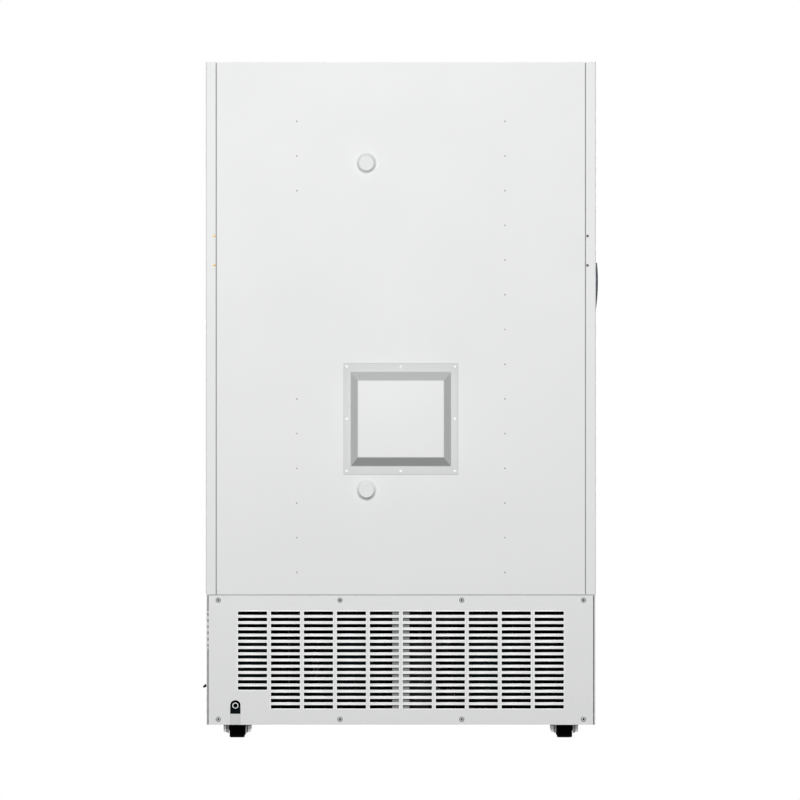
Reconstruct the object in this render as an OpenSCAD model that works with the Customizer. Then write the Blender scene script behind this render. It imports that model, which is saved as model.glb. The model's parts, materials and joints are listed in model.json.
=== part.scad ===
// Upright ultra low temperature freezer on casters.
// Millimetres. The origin is on the floor, under the middle of the outer box.
// The door faces -Y, the service side with the vents faces +Y, and Z is up.

/* [Cabinet] */
// Width over the two side panels
cab_w = 1143; // [1100:1:1200]
// Height from the floor to the top
total_h = 1980; // [1940:1:2020]
// Depth of the foamed cabinet, without the door
cab_d = 810; // [790:1:840]
// Height of the seam between the machine base and the cabinet
seam_z = 418; // [414:1:424]
// Open gap at that seam
seam_gap = 3; // [2:0.5:5]

/* [Sheet metal] */
// Thickness of the painted steel skins
skin_t = 1.5; // [1:0.1:2]
// Width of the side panels' strips on the rear face
rear_strip = 29; // [24:1:34]
// Gap between a rear strip and the back panel
strip_gap = 3; // [2:0.5:5]
// Width of the side panels' flanges round the front opening
front_flange = 58; // [50:1:64]
// Depth of the lips folded inwards
lip_d = 14; // [10:1:20]
// How far the back panel stays below the top edge
back_drop = 1; // [0.5:0.5:3]
// Radius of the outer corners seen from above
bend_r = 3; // [2:0.5:5]

/* [Insulation] */
// Insulated wall at the sides
wall_side = 136; // [126:1:140]
// Insulated wall at the top
wall_top = 125; // [118:1:130]
// Insulated wall at the bottom
wall_bottom = 130; // [125:1:135]
// Insulated wall at the back
wall_back = 110; // [105:1:125]
// Step of the opening round the inner doors
recess_step = 25; // [22:1:28]
// Depth of that step
recess_d = 52; // [48:1:58]
// Thickness of the steel liner
liner_t = 1; // [0.8:0.1:1.5]
// Thickness of the plastic breaker strips
breaker_t = 3; // [2:0.5:4]

/* [Door] */
// Closed gap between the door and the cabinet
gasket_gap = 10; // [9:0.5:12]
// Thickness of the door
door_t = 90; // [80:1:100]
// Gap between the door's foot and the seam
door_low_gap = 6; // [4:1:8]
// Gap between the door's top and the cabinet's top
door_top_gap = 8; // [7:1:10]
// Radius of the door's two front edges
door_r = 14; // [8:1:20]
// Width of the flange folded in at the door's back
door_lip = 14; // [12:1:18]
// Distance of the gasket from the cabinet's outline
gasket_inset = 26.5; // [26:0.5:29]
// Width of the gasket's base
gasket_w = 34; // [28:1:38]
// Clearance left between the gasket and the cabinet
gasket_clear = 0.3; // [0.2:0.1:0.5]
// Depth of the tray pressed in the door liner
tray_d = 18; // [12:1:22]
// Distance of the door hinge from the side of the cabinet
hinge_in = 20.5; // [19:0.5:21.5]

/* [Door hinges] */
// Radius of the hinge pins
pin_r = 7; // [5:0.5:8]
// Length of a pin inside the door
pin_l = 24; // [18:1:30]
// Radial running clearance of every pin and shaft
run_fit = 0.05; // [0.02:0.01:0.08]
// Thickness of the hinge plates
hinge_plate_t = 6; // [5:0.5:6.5]
// Thickness of the hinge flanges on the cabinet front
hinge_flange_t = 4; // [3:0.5:4.5]
// Height of the hinge flanges
hinge_flange_h = 44; // [30:1:60]

/* [Handle] */
// How far the grip stands out in front of the door
handle_reach = 45; // [40:1:55]
// How far the handle housing and the power switch reach out sideways
side_reach = 11; // [9:0.5:14]
// Height of the underside of the handle housing
housing_z0 = 1227; // [1180:1:1260]
// Height of the handle housing
housing_h = 168; // [150:1:190]
// Height above the housing's underside where it bulges most
bulge_up = 113; // [100:1:125]
// Distance of the lever's pivot from the side of the cabinet
lever_in = 25; // [24:0.5:27]
// Distance of the lever's pivot from the door's face
lever_out = 15.5; // [14:0.5:18]
// Height of the grip bar
grip_h = 250; // [200:1:300]
// Width of the grip bar
grip_w = 30; // [24:1:36]
// Thickness of the grip bar
grip_t = 20; // [16:1:24]
// Distance of the grip bar from the lever's pivot
grip_away = 93; // [80:1:110]

/* [Control panel, lock and relief valve] */
// Width of the control panel
panel_w = 300; // [260:1:360]
// Height of the control panel
panel_h = 180; // [150:1:220]
// Height of its middle above the floor
panel_z = 1560; // [1520:1:1600]
// Depth of the control panel's box in the door
panel_d = 30; // [20:1:40]
// Width of the touchscreen
screen_w = 230; // [180:1:250]
// Height of the touchscreen
screen_h = 130; // [100:1:140]
// Thickness of the touchscreen
screen_t = 4; // [3:0.5:6]
// Radius of the lock barrel
lock_r = 8; // [6:0.5:10]
// Drop of the lock below the handle housing
lock_down = 67; // [50:1:110]
// Distance of the lock from the cabinet's side
lock_side = 51.5; // [42:0.5:90]
// Radius of the relief valve's housing
valve_r = 30; // [26:1:34]
// Radius of the relief valve's knob
knob_r = 18; // [14:0.5:22]
// Drop of the relief valve below the handle housing
valve_down = 187; // [150:1:220]
// Travel of the relief valve's knob
knob_travel = 6; // [4:0.5:8]

/* [Interior] */
// Thickness of an inner door
inner_t = 40; // [34:1:44]
// Gap beside an inner door
inner_gap = 5; // [4:0.5:6]
// Gap above, below and between the inner doors
inner_gap_z = 6; // [5:0.5:8]
// Distance of an inner door's pivot from its edges
inner_pivot = 8; // [7:0.5:10]
// Radius of the inner doors' pins
inner_pin_r = 3; // [2.5:0.5:4]
// Number of shelves
shelves_n = 3; // [3:2:5]
// Depth of the slotted rails that carry the shelves
rail_d = 12; // [10:1:16]
// Width of those rails
rail_w = 30; // [26:1:40]
// Pitch of their slots
rail_pitch = 50; // [25:5:60]
// Thickness of a shelf
shelf_t = 1.5; // [1:0.1:3]
// Height of a shelf's folded edges
shelf_lip = 18; // [14:1:26]

/* [Rear face] */
// Distance of the two ports from the middle
port_x = 101; // [90:1:125]
// Height of the lower port
port_low_z = 725.8; // [715:0.1:735]
// Drop of the upper port below the top
port_down = 296.4; // [285:0.1:310]
// Radius of the port plugs' caps
cap_r = 24; // [22:0.5:27]
// Radius of the ports' flanges
port_flange_r = 29; // [28:0.5:34]
// Thickness of the ports' flanges
port_flange_t = 4; // [3:0.5:6]
// Height of the plugs' caps
cap_h = 20; // [14:1:26]
// Inner radius of the port sleeves
port_bore_r = 13; // [11:0.5:15]
// Wall of the port sleeves
sleeve_t = 2.5; // [2:0.5:4]
// Distance of the threaded inserts from the side of the cabinet
insert_in = 24.5; // [20:0.5:25]
// Height of the lower threaded inserts
insert_low_z = 1384; // [1340:1:1400]
// Pitch of the threaded inserts
insert_pitch = 86; // [60:1:100]
// Outer radius of the threaded inserts
insert_r = 3.5; // [3.2:0.1:4.5]
// Radius of the bore of the threaded inserts
insert_bore_r = 2.1; // [1.6:0.1:2.5]
// Distance of the two rivet columns from the cabinet's sides
rivet_side = 266.5; // [256:0.5:282]
// Drop of the top rivet below the top
rivet_down = 174; // [165:1:190]
// Rise of the lowest rivet above the seam
rivet_up = 66.55; // [60:0.05:75]
// Radius of the rivet heads
rivet_r = 2.2; // [1.5:0.1:3]

/* [Heat exchanger cover] */
// Height of the middle of the cover
boss_z = 934; // [920:1:950]
// Width of the cover's flange
boss_flange_w = 334; // [326:1:350]
// Height of the cover's flange
boss_flange_h = 325; // [315:1:340]
// Width of the raised part at its foot
boss_foot_w = 294.5; // [286:0.5:300]
// Height of the raised part at its foot
boss_foot_h = 277; // [270:0.5:284]
// Width of the raised part's flat top
boss_top_w = 251.7; // [240:0.1:262]
// Height of the raised part's flat top
boss_top_h = 223.7; // [215:0.1:235]
// How far the raised part stands out
boss_reach = 40; // [34:1:46]
// Distance of the corner screws from the middle, across
boss_screw_x = 158.8; // [155:0.1:160]
// Distance of the corner screws from the middle, upright
boss_screw_z = 153; // [149:0.5:155]
// Radius of the cover screws' heads
boss_head_r = 3.5; // [3:0.1:4.5]

/* [Machine base] */
// Height of the base's underside
base_z0 = 38; // [36:1:44]
// How far the base stays inside the cabinet's sides
base_in = 1.7; // [1:0.1:3]
// How far the base's front stays behind the door's face
base_set_back = 15; // [10:1:25]
// Height of the bottom rails
rail_h = 32; // [30:1:36]
// Width of the side rails
side_rail_w = 25; // [20:1:26]
// Depth of the front and rear rails
cross_rail_w = 28; // [24:1:34]
// Thickness of the deck
deck_t = 3; // [2:0.5:5]
// Height of the top rails
top_rail_h = 30; // [26:1:36]
// Leg of the corner posts
post_leg = 35; // [30:1:40]
// Thickness of the corner posts
post_t = 3; // [2:0.5:5]
// Width of the middle post at the rear
mid_post_w = 50; // [40:1:60]
// Gap left at a weld
weld_gap = 0.3; // [0.2:0.1:0.5]

/* [Rear cover] */
// Distance of the cover from the base's side edges
cover_in = 6.3; // [5:0.1:9]
// Depth of the cover's folded edges
cover_lip = 5.5; // [4:0.5:8]
// Number of vent columns
vent_cols = 10; // [8:2:10]
// Number of vent rows
vent_rows = 16; // [12:1:16]
// Width of the plain sheet beside the vents
vent_margin = 86.2; // [80:0.1:95]
// Gap between two vent columns
vent_gap = 11.4; // [9:0.1:16]
// Pitch of the vent rows
vent_pitch_z = 18.28; // [16:0.01:18.3]
// Height of a vent
vent_h = 10; // [8:0.5:12]
// Height of the top row of vents
vent_top = 364.8; // [360:0.1:370]
// Rows left out at the foot of the column over the cord slot
vent_short = 3; // [3:1:5]
// Distance of the outer cover screws from the cabinet's side
cover_screw_side = 36.5; // [30:0.5:45]
// Distance of the lower cover screws from the cover's foot
cover_screw_up = 16.3; // [12:0.1:19]
// Distance of the upper cover screws from the cover's top
cover_screw_down = 13.2; // [12:0.1:18]
// Radius of the cover screws' heads
cover_head_r = 7.75; // [6:0.25:9]
// Distance of the cord slot from the cabinet's side
cord_side = 86.5; // [82:0.5:94]
// Height of the cord gland
cord_z = 94; // [90:1:100]
// Width of the cord slot
cord_slot_w = 30; // [26:1:34]
// Radius of the gland's bore
gland_bore_r = 5.75; // [5:0.25:7]
// Distance across the flats of the gland
gland_af = 20; // [18:1:22]

/* [Front grille] */
// Height of the grille's foot
grille_z0 = 42; // [42:1:46]
// Gap between the grille and the header above it
grille_gap = 3; // [2:0.5:5]
// Depth of the grille's folded edges
grille_d = 15; // [14:1:16]
// Gap at the grille's ends
grille_end_gap = 2.8; // [2:0.1:4]
// Height of the grille's pivot above its foot
grille_pivot = 13; // [12:0.5:13]
// Number of slots in the grille
grille_rows = 17; // [10:1:20]
// Pitch of the slots
grille_pitch = 16; // [14:0.5:16]
// Height of a slot
grille_slot = 7; // [5:0.5:9]
// Radius of the grille's pins
grille_pin_r = 3; // [2.5:0.5:3.5]

/* [Casters] */
// Distance of the casters from the cabinet's side
caster_side = 91.5; // [89:0.5:98]
// Distance of the rear casters' axles from the middle
caster_rear_y = 350; // [330:1:355]
// Distance of the front casters' swivels from the middle
caster_front_y = 300; // [260:1:305]
// Radius of a wheel
wheel_r = 28; // [27:0.5:28.5]
// Width of a wheel
wheel_w = 45; // [36:1:46]
// Radius of a wheel's edges
wheel_edge = 5; // [3:0.5:7]
// Radius of the axles
axle_r = 6; // [5:0.5:7]
// Thickness of a fork's legs
leg_t = 5.5; // [4:0.5:6]
// Gap between a wheel and a leg
leg_gap = 1.5; // [1:0.1:2]
// Radius of the foot of a leg
leg_end_r = 15; // [13:0.5:17]
// Distance of a front axle behind its swivel
trail = 18; // [14:1:19]
// Distance across the flats of an axle nut
nut_af = 18; // [16:1:19]
// Thickness of an axle nut
nut_t = 10; // [8:0.5:10.5]

/* [Cooling system] */
// Radius of the evaporator tube
coil_r = 4; // [3:0.5:4.5]
// Turns of the evaporator round the liner
coil_turns = 9; // [6:1:10]
// Radius of the bends of every tube
bend = 12; // [10:1:13]
// Radius of the refrigerant lines
line_r = 5; // [4:0.5:6]
// Radius of the compressors' shells
comp_r = 100; // [90:1:104]
// Height of the compressors' shells
comp_h = 225; // [200:1:230]
// Distance of the first compressor from the middle
comp_first_x = 250; // [240:1:260]
// Distance of the second compressor from the middle
comp_second_x = 140; // [130:1:150]
// Distance of the compressors behind the middle
comp_y = 170; // [150:1:190]
// Half the width of the condenser
cond_hw = 330; // [310:1:350]
// Depth of the condenser
cond_d = 50; // [40:1:55]
// Height of the condenser
cond_h = 285; // [270:1:290]
// Pitch of the condenser's fins
fin_pitch = 12; // [10:1:20]
// Thickness of a fin
fin_t = 3; // [1:0.5:4]
// Radius of the fan openings
fan_open_r = 98; // [88:1:99]
// Gap between the blades and the openings
fan_gap = 7; // [5:0.5:10]
// Distance of the fans from the middle
fan_x = 165; // [150:1:180]
// Radius of the fan motors
motor_r = 38; // [34:1:44]
// Number of blades on a fan
blades = 5; // [3:1:7]

/* [Hidden] */
$fn = 48;

// Clearance between faces that lie against each other without a fit
face_fit = 0.3;
// A little more than nothing, so that a cut runs clear through
eps = 1;

half_w = cab_w / 2;
cab_z0 = seam_z + seam_gap / 2;
base_top = seam_z - seam_gap / 2;
back_y = (cab_d + gasket_gap + door_t + handle_reach - boss_reach) / 2;
front_y = back_y - cab_d;
skin_hw = half_w - skin_t;
flange_x = half_w - front_flange;
panel_hw = half_w - rear_strip - strip_gap;

in_hw = half_w - wall_side;
in_z0 = cab_z0 + wall_bottom;
in_z1 = total_h - wall_top;
in_back = back_y - wall_back;
rec_hw = in_hw + recess_step;
rec_z0 = in_z0 - recess_step;
rec_z1 = in_z1 + recess_step;
rec_y = front_y + recess_d;
face_w = flange_x - rec_hw;
face_z0 = rec_z0 - face_w;
face_z1 = rec_z1 + face_w;

door_hw = half_w - 1;
door_y1 = front_y - gasket_gap;
door_y0 = door_y1 - door_t;
door_z0 = seam_z + door_low_gap;
door_z1 = total_h - door_top_gap;
door_h = door_z1 - door_z0;
hinge_x = half_w - hinge_in;
hinge_y = (door_y0 + door_y1) / 2 + 0.5;
bush_wall = 5;
bush_h = pin_l + 6;

gasket_x = half_w - gasket_inset;
gasket_z0 = cab_z0 + gasket_inset;
gasket_z1 = total_h - gasket_inset;
tray_hw = gasket_x - gasket_w - 10;
tray_z0 = gasket_z0 + gasket_w + 10;
tray_z1 = gasket_z1 - gasket_w - 10;

// A box between two values along each axis
module box(x0, x1, y0, y1, z0, z1) {
    translate([x0, y0, z0]) cube([x1 - x0, y1 - y0, z1 - z0]);
}

// The same piece on both sides of the middle
module both() {
    children();
    mirror([1, 0, 0]) children();
}

// A flat shape drawn in X and Z, as thick as y0 to y1
module upright(y0, y1) {
    translate([0, y1, 0]) rotate([90, 0, 0]) linear_extrude(y1 - y0) children();
}

// A flat shape drawn in Y and Z, as thick as x0 to x1
module sideways(x0, x1) {
    translate([x0, 0, 0]) rotate([90, 0, 90]) linear_extrude(x1 - x0) children();
}

// A cylinder along Y
module rod_y(x, z, y0, y1, r) {
    translate([x, y1, z]) rotate([90, 0, 0]) cylinder(h = y1 - y0, r = r);
}

// A cylinder along X
module rod_x(y, z, x0, x1, r) {
    translate([x0, y, z]) rotate([0, 90, 0]) cylinder(h = x1 - x0, r = r);
}

// A flat rectangle with four round corners
module rounded(x0, x1, y0, y1, r) {
    translate([x0 + r, y0]) square([x1 - x0 - 2 * r, y1 - y0]);
    translate([x0, y0 + r]) square([x1 - x0, y1 - y0 - 2 * r]);
    for (x = [x0 + r, x1 - r], y = [y0 + r, y1 - r]) translate([x, y]) circle(r);
}

// A flat rectangle between two values along each axis
module flat(x0, x1, y0, y1) {
    translate([x0, y0]) square([x1 - x0, y1 - y0]);
}

function unit(v) = v / norm(v);

// A straight round bar between two points on a line along an axis
module bar(a, b, r) {
    e3 = unit(b - a);
    e1 = [e3[1], e3[2], e3[0]];
    e2 = cross(e3, e1);
    multmatrix([
        [e1[0], e2[0], e3[0], a[0]],
        [e1[1], e2[1], e3[1], a[1]],
        [e1[2], e2[2], e3[2], a[2]],
        [0, 0, 0, 1]
    ]) cylinder(h = norm(b - a), r = r);
}

// A quarter bend at a corner, from the direction d1 into the direction d2
module elbow(corner, d1, d2, radius, r) {
    c = corner - radius * d1 + radius * d2;
    e3 = cross(-d2, d1);
    multmatrix([
        [-d2[0], d1[0], e3[0], c[0]],
        [-d2[1], d1[1], e3[1], c[1]],
        [-d2[2], d1[2], e3[2], c[2]],
        [0, 0, 0, 1]
    ]) rotate_extrude(angle = 90) translate([radius, 0]) circle(r);
}

// A tube through points joined by straight runs along the axes
module pipe(pts, r, radius) {
    last = len(pts) - 1;
    for (i = [0 : last - 1]) {
        d = unit(pts[i + 1] - pts[i]);
        a = pts[i] + (i > 0 ? radius : 0) * d;
        b = pts[i + 1] - (i < last - 1 ? radius : 0) * d;
        bar(a, b, r);
        if (i < last - 1)
            elbow(pts[i + 1], d, unit(pts[i + 2] - pts[i + 1]), radius, r);
    }
}

port_high_z = total_h - port_down;
port_z = [port_low_z, port_high_z];
rivet_rows = 14;
rivet_x = half_w - rivet_side;
rivet_top = total_h - rivet_down;
rivet_pitch = (rivet_top - seam_z - rivet_up) / (rivet_rows - 1);
insert_z = [insert_low_z, insert_low_z + insert_pitch];
insert_x = half_w - insert_in;
insert_l = 12;
sleeve_r = port_bore_r + sleeve_t;
pocket_hw = 100;
pocket_hh = 95;
pocket_d = 80;
duct_hw = 46;
duct_y0 = back_y - pocket_d;
duct_y1 = duct_y0 + 45;
screw_r = 1.6;
boss_screws = [for (x = [-1, 0, 1], z = [-1, 0, 1]) if (x != 0 || z != 0)
    [x * boss_screw_x, boss_z + z * boss_screw_z]];

coil_gap = 3;
coil_x = in_hw + liner_t + coil_gap + coil_r;
coil_y0 = rec_y + 60;
coil_y1 = in_back + liner_t + coil_gap + coil_r;
coil_margin = 60;
coil_pitch = (in_z1 - in_z0 - 2 * coil_margin) / (coil_turns - 1);
function coil_z(i) = in_z0 + coil_margin + i * coil_pitch;
coil_room = coil_r + face_fit;
stub_x = 40;
stub_z = coil_z(round((boss_z - coil_z(0)) / coil_pitch));

// Side panel seen from above
module side_profile() {
    intersection() {
        union() {
            flat(skin_hw, half_w, front_y, back_y);
            flat(half_w - rear_strip, half_w, back_y - skin_t, back_y);
            flat(flange_x, half_w, front_y, front_y + skin_t);
            side_lips();
        }
        rounded(-half_w, half_w, front_y, back_y, bend_r);
    }
}

// The two lips that a side panel folds inwards
module side_lips() {
    flat(half_w - rear_strip, half_w - rear_strip + skin_t, back_y - lip_d, back_y);
    flat(flange_x, flange_x + skin_t, front_y, front_y + lip_d);
}

// Side panel with its rear strip, front flange and insert holes
module side_panel() {
    difference() {
        translate([0, 0, cab_z0]) linear_extrude(total_h - cab_z0) side_profile();
        for (z = [cab_z0 - eps, total_h - skin_t])
            box(0, skin_hw, front_y + skin_t, back_y - skin_t, z, z + skin_t + eps);
        for (z = insert_z)
            rod_y(insert_x, z, back_y - lip_d - eps, back_y + eps, insert_r + face_fit);
    }
}

module side_panel_right() { color("white") side_panel(); }

module side_panel_left() { color("white") mirror([1, 0, 0]) side_panel(); }

// Top sheet with the flange over the opening
module top_panel() {
    color("white") {
        box(-skin_hw, skin_hw, front_y + skin_t, back_y - skin_t, total_h - skin_t, total_h);
        box(-flange_x, flange_x, front_y, front_y + skin_t, face_z1, total_h);
    }
}

// Lip folded inwards along an upright edge of the back panel
module back_lip() {
    box(panel_hw - skin_t, panel_hw, back_y - lip_d, back_y,
        cab_z0 + 2 * skin_t, total_h - back_drop - 2 * skin_t);
}

// Rear skin with the window, the ports and the screw holes
module back_panel() {
    color("white") difference() {
        union() {
            box(-panel_hw, panel_hw, back_y - skin_t, back_y, cab_z0, total_h - back_drop);
            both() back_lip();
        }
        box(-pocket_hw, pocket_hw, back_y - skin_t - eps, back_y + eps,
            boss_z - pocket_hh, boss_z + pocket_hh);
        for (z = port_z)
            rod_y(port_x, z, back_y - skin_t - eps, back_y + eps, sleeve_r + face_fit);
        for (p = boss_screws)
            rod_y(p[0], p[1], back_y - skin_t - eps, back_y + eps, screw_r + face_fit);
    }
}

// Floor sheet under the foam, with the flange below the opening
module cabinet_floor() {
    color("gainsboro") difference() {
        union() {
            box(-skin_hw, skin_hw, front_y + skin_t, back_y - skin_t, cab_z0, cab_z0 + skin_t);
            box(-flange_x, flange_x, front_y, front_y + skin_t, cab_z0, face_z0);
        }
        box(-duct_hw, duct_hw, duct_y0, duct_y1, cab_z0 - eps, cab_z0 + skin_t + eps);
    }
}

// Channels in the foam for the evaporator tube
module coil_channels() {
    edge = in_hw + liner_t - eps;
    rear = in_back + liner_t - eps;
    for (i = [0 : coil_turns - 1]) {
        z0 = coil_z(i) - coil_room;
        z1 = coil_z(i) + coil_room;
        both() box(edge, coil_x + coil_room, coil_y0 - coil_room, coil_y1 + coil_room, z0, z1);
        box(-coil_x, coil_x, rear, coil_y1 + coil_room, z0, z1);
    }
    for (i = [0 : coil_turns - 2]) mirror([i % 2, 0, 0])
        box(edge, coil_x + coil_room, coil_y0 - coil_room, coil_y0 + bend + coil_room,
            coil_z(i), coil_z(i + 1));
    both() box(stub_x - coil_room, stub_x + coil_room, coil_y1, duct_y0 + eps,
        stub_z - coil_room, stub_z + coil_room);
}

// Foam between the skins and the liner
module insulation() {
    color("khaki") difference() {
        box(-skin_hw, skin_hw, front_y + skin_t, back_y - skin_t,
            cab_z0 + skin_t, total_h - skin_t);
        box(-flange_x, flange_x, front_y, front_y + breaker_t, face_z0, face_z1);
        box(-rec_hw - breaker_t, rec_hw + breaker_t, front_y, rec_y + liner_t,
            rec_z0 - breaker_t, rec_z1 + breaker_t);
        box(-in_hw - liner_t, in_hw + liner_t, rec_y, in_back + liner_t,
            in_z0 - liner_t, in_z1 + liner_t);
        both() {
            translate([0, 0, cab_z0]) linear_extrude(total_h - cab_z0) side_lips();
            back_lip();
            for (z = insert_z)
                rod_y(insert_x, z, back_y - insert_l - eps, back_y, insert_r + face_fit);
        }
        box(-pocket_hw, pocket_hw, back_y - pocket_d, back_y,
            boss_z - pocket_hh, boss_z + pocket_hh);
        box(-duct_hw, duct_hw, duct_y0, duct_y1, cab_z0, boss_z);
        for (z = port_z) rod_y(port_x, z, in_back, back_y, sleeve_r + face_fit);
        coil_channels();
    }
}

// Steel liner with a flange behind the inner doors
module inner_liner() {
    color("silver") difference() {
        union() {
            box(-in_hw - liner_t, in_hw + liner_t, rec_y, in_back + liner_t,
                in_z0 - liner_t, in_z1 + liner_t);
            box(-rec_hw - breaker_t, rec_hw + breaker_t, rec_y, rec_y + liner_t,
                rec_z0 - breaker_t, rec_z1 + breaker_t);
        }
        box(-in_hw, in_hw, rec_y - eps, in_back, in_z0, in_z1);
        for (z = port_z)
            rod_y(port_x, z, in_back - eps, in_back + liner_t + eps, sleeve_r + face_fit);
    }
}

// Plastic strips that break the cold bridge, mitred at the four corners
module breaker_strips() {
    color("gainsboro") difference() {
        union() {
            upright(front_y, front_y + breaker_t) flat(-flange_x, flange_x, face_z0, face_z1);
            upright(front_y, rec_y) flat(-rec_hw - breaker_t, rec_hw + breaker_t,
                rec_z0 - breaker_t, rec_z1 + breaker_t);
        }
        box(-rec_hw, rec_hw, front_y - eps, rec_y + eps, rec_z0, rec_z1);
        for (x = [-1, 1], z = [0, 1])
            translate([x * rec_hw, front_y - eps, z == 0 ? rec_z0 : rec_z1])
                rotate([0, (z == 0 ? x : -x) * 45, 0])
                    translate([-face_w * 2, 0, -weld_gap / 2])
                        cube([face_w * 4, recess_d + 2 * eps, weld_gap]);
    }
}

rail_t = 1.5;
rail_slot_h = 12;
rail_slot_w = 6;
rail_margin = 12;
rail_ys = [rec_y + 90, in_back - 90];
clip_l = 16;
clip_w = 18;
clip_t = 3;
shelf_zs = [for (i = [1 : shelves_n]) in_z0 + i * (in_z1 - in_z0) / (shelves_n + 1)];

// One slotted rail against the right wall
module shelf_rail(y) {
    face_x = in_hw - rail_d;
    difference() {
        translate([0, y, in_z0 + rail_margin])
            linear_extrude(in_z1 - in_z0 - 2 * rail_margin) {
                flat(face_x, face_x + rail_t, -rail_w / 2, rail_w / 2);
                for (s = [-1, 1]) flat(face_x, in_hw, s * (rail_w - rail_t) / 2 - rail_t / 2,
                    s * (rail_w - rail_t) / 2 + rail_t / 2);
            }
        for (z = [in_z0 + rail_pitch : rail_pitch : in_z1 - rail_pitch])
            box(face_x - eps, face_x + rail_t + eps, y - rail_slot_w / 2, y + rail_slot_w / 2,
                z - rail_slot_h / 2, z + rail_slot_h / 2);
    }
}

// One clip that carries a corner of a shelf
module shelf_clip(y, z) {
    x1 = in_hw - rail_d - face_fit;
    box(x1 - clip_l, x1, y - clip_w / 2, y + clip_w / 2, z - clip_t, z);
    box(x1 - clip_t, x1, y - clip_w / 2, y + clip_w / 2, z - clip_l, z);
}

// Four slotted rails and the shelf clips on them
module shelf_rails() {
    color("silver") both() for (y = rail_ys) {
        shelf_rail(y);
        for (z = shelf_zs) shelf_clip(y, z);
    }
}

// Shelves with folded front and rear edges and a stiffener below
module shelves() {
    hw = in_hw - rail_d - 2;
    y0 = rec_y + 2;
    y1 = in_back - 10;
    rib = 24;
    color("silver") for (z = shelf_zs) {
        box(-hw, hw, y0, y1, z, z + shelf_t);
        box(-hw, hw, y0, y0 + shelf_t, z - shelf_lip, z);
        box(-hw, hw, y1 - shelf_t, y1, z - shelf_lip, z);
        difference() {
            box(-hw + rib, hw - rib, (y0 + y1 - rib) / 2, (y0 + y1 + rib) / 2, z - rib / 2, z);
            box(-hw, hw, (y0 + y1 - rib) / 2 + shelf_t, (y0 + y1 + rib) / 2 - shelf_t,
                z - rib / 2 + shelf_t, z + eps);
        }
    }
}

// A block whose four sides lean in, from half sizes a to half sizes b
module leaning_block(a, b, y0, y1) {
    tall = 2 * max(a[0], a[1], b[0], b[1]) + 2 * eps;
    translate([0, 0, boss_z]) intersection() {
        linear_extrude(tall, center = true)
            polygon([[-a[0], y0], [a[0], y0], [b[0], y1], [-b[0], y1]]);
        rotate([0, -90, 0]) linear_extrude(tall, center = true)
            polygon([[-a[1], y0], [a[1], y0], [b[1], y1], [-b[1], y1]]);
    }
}

// Raised cover over the heat exchanger, pressed from one sheet
module heat_exchanger_cover() {
    foot = [boss_foot_w / 2, boss_foot_h / 2];
    top = [boss_top_w / 2, boss_top_h / 2];
    wall = [skin_t, skin_t];
    y1 = back_y + boss_reach;
    color("white") difference() {
        union() {
            upright(back_y, back_y + skin_t) rounded(-boss_flange_w / 2, boss_flange_w / 2,
                boss_z - boss_flange_h / 2, boss_z + boss_flange_h / 2, bend_r);
            leaning_block(foot, top, back_y + skin_t, y1);
        }
        leaning_block(foot - wall, top - wall, back_y, y1 - skin_t);
        upright(back_y - eps, back_y + skin_t)
            flat(-foot[0] + skin_t, foot[0] - skin_t,
                boss_z - foot[1] + skin_t, boss_z + foot[1] - skin_t);
        for (p = boss_screws)
            rod_y(p[0], p[1], back_y - eps, back_y + skin_t + eps, screw_r + face_fit);
    }
}

base_hw = half_w - base_in;
base_skin = base_hw - skin_t;
grille_y = door_y0 + base_set_back;
rail_y0 = grille_y + 2 * grille_d;
rail_y1 = back_y - cover_lip - face_fit;
rail_top = base_z0 + rail_h;
rail_in = base_skin - side_rail_w;
tube_t = 2;
deck_z1 = rail_top + deck_t;
top_rail_z0 = base_top - top_rail_h;
cover_hw = base_hw - cover_in;
cover_screw_x = half_w - cover_screw_side;
vent_pitch_x = (2 * (cover_hw - vent_margin) + vent_gap) / vent_cols;
vent_l = vent_pitch_x - vent_gap;
cord_x = half_w - cord_side;
caster_x = half_w - caster_side;
cover_head_h = 3;
cover_shank_r = 2.4;
screw_head_h = 1.5;
grille_screws = [for (x = [-1, 1], w = [cover_screw_x / 3, cover_screw_x],
    z = [base_z0 + cover_screw_up, base_top - cover_screw_down]) [x * w, z]];

// Pan head screw whose head rests at y, with its shank towards the front
module rear_screw(x, z, y, head_r, head_h, shank_r, shank_l) {
    translate([x, y, z]) rotate([-90, 0, 0]) difference() {
        union() {
            cylinder(h = head_h / 2, r = head_r);
            translate([0, 0, head_h / 2])
                cylinder(h = head_h / 2, r1 = head_r, r2 = head_r * 0.7);
            translate([0, 0, -shank_l]) cylinder(h = shank_l, r = shank_r);
        }
        translate([0, 0, head_h / 2]) cylinder(h = head_h, r = head_r * 0.35, $fn = 6);
    }
}

// Screws of the heat exchanger cover and of the rear cover
module rear_screws() {
    color("silver") {
        for (p = boss_screws)
            rear_screw(p[0], p[1], back_y + skin_t, boss_head_r, screw_head_h,
                screw_r, 2 * skin_t);
        for (p = grille_screws)
            rear_screw(p[0], p[1], back_y, cover_head_r, cover_head_h,
                cover_shank_r, back_y - rail_y1);
    }
}

// Plate heat exchanger between the two cooling stages
module cascade_exchanger() {
    plates = 10;
    body_hw = 60;
    body_h = 165;
    y0 = duct_y0 + face_fit;
    plate_t = 6;
    inset = 2;
    z0 = boss_z - pocket_hh;
    color("sandybrown") for (i = [0 : plates - 1]) {
        k = i % 2 * inset;
        upright(y0 + i * plate_t, y0 + (i + 1) * plate_t)
            rounded(-body_hw + k, body_hw - k, z0 + k, z0 + body_h - k, 12);
    }
}

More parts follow.
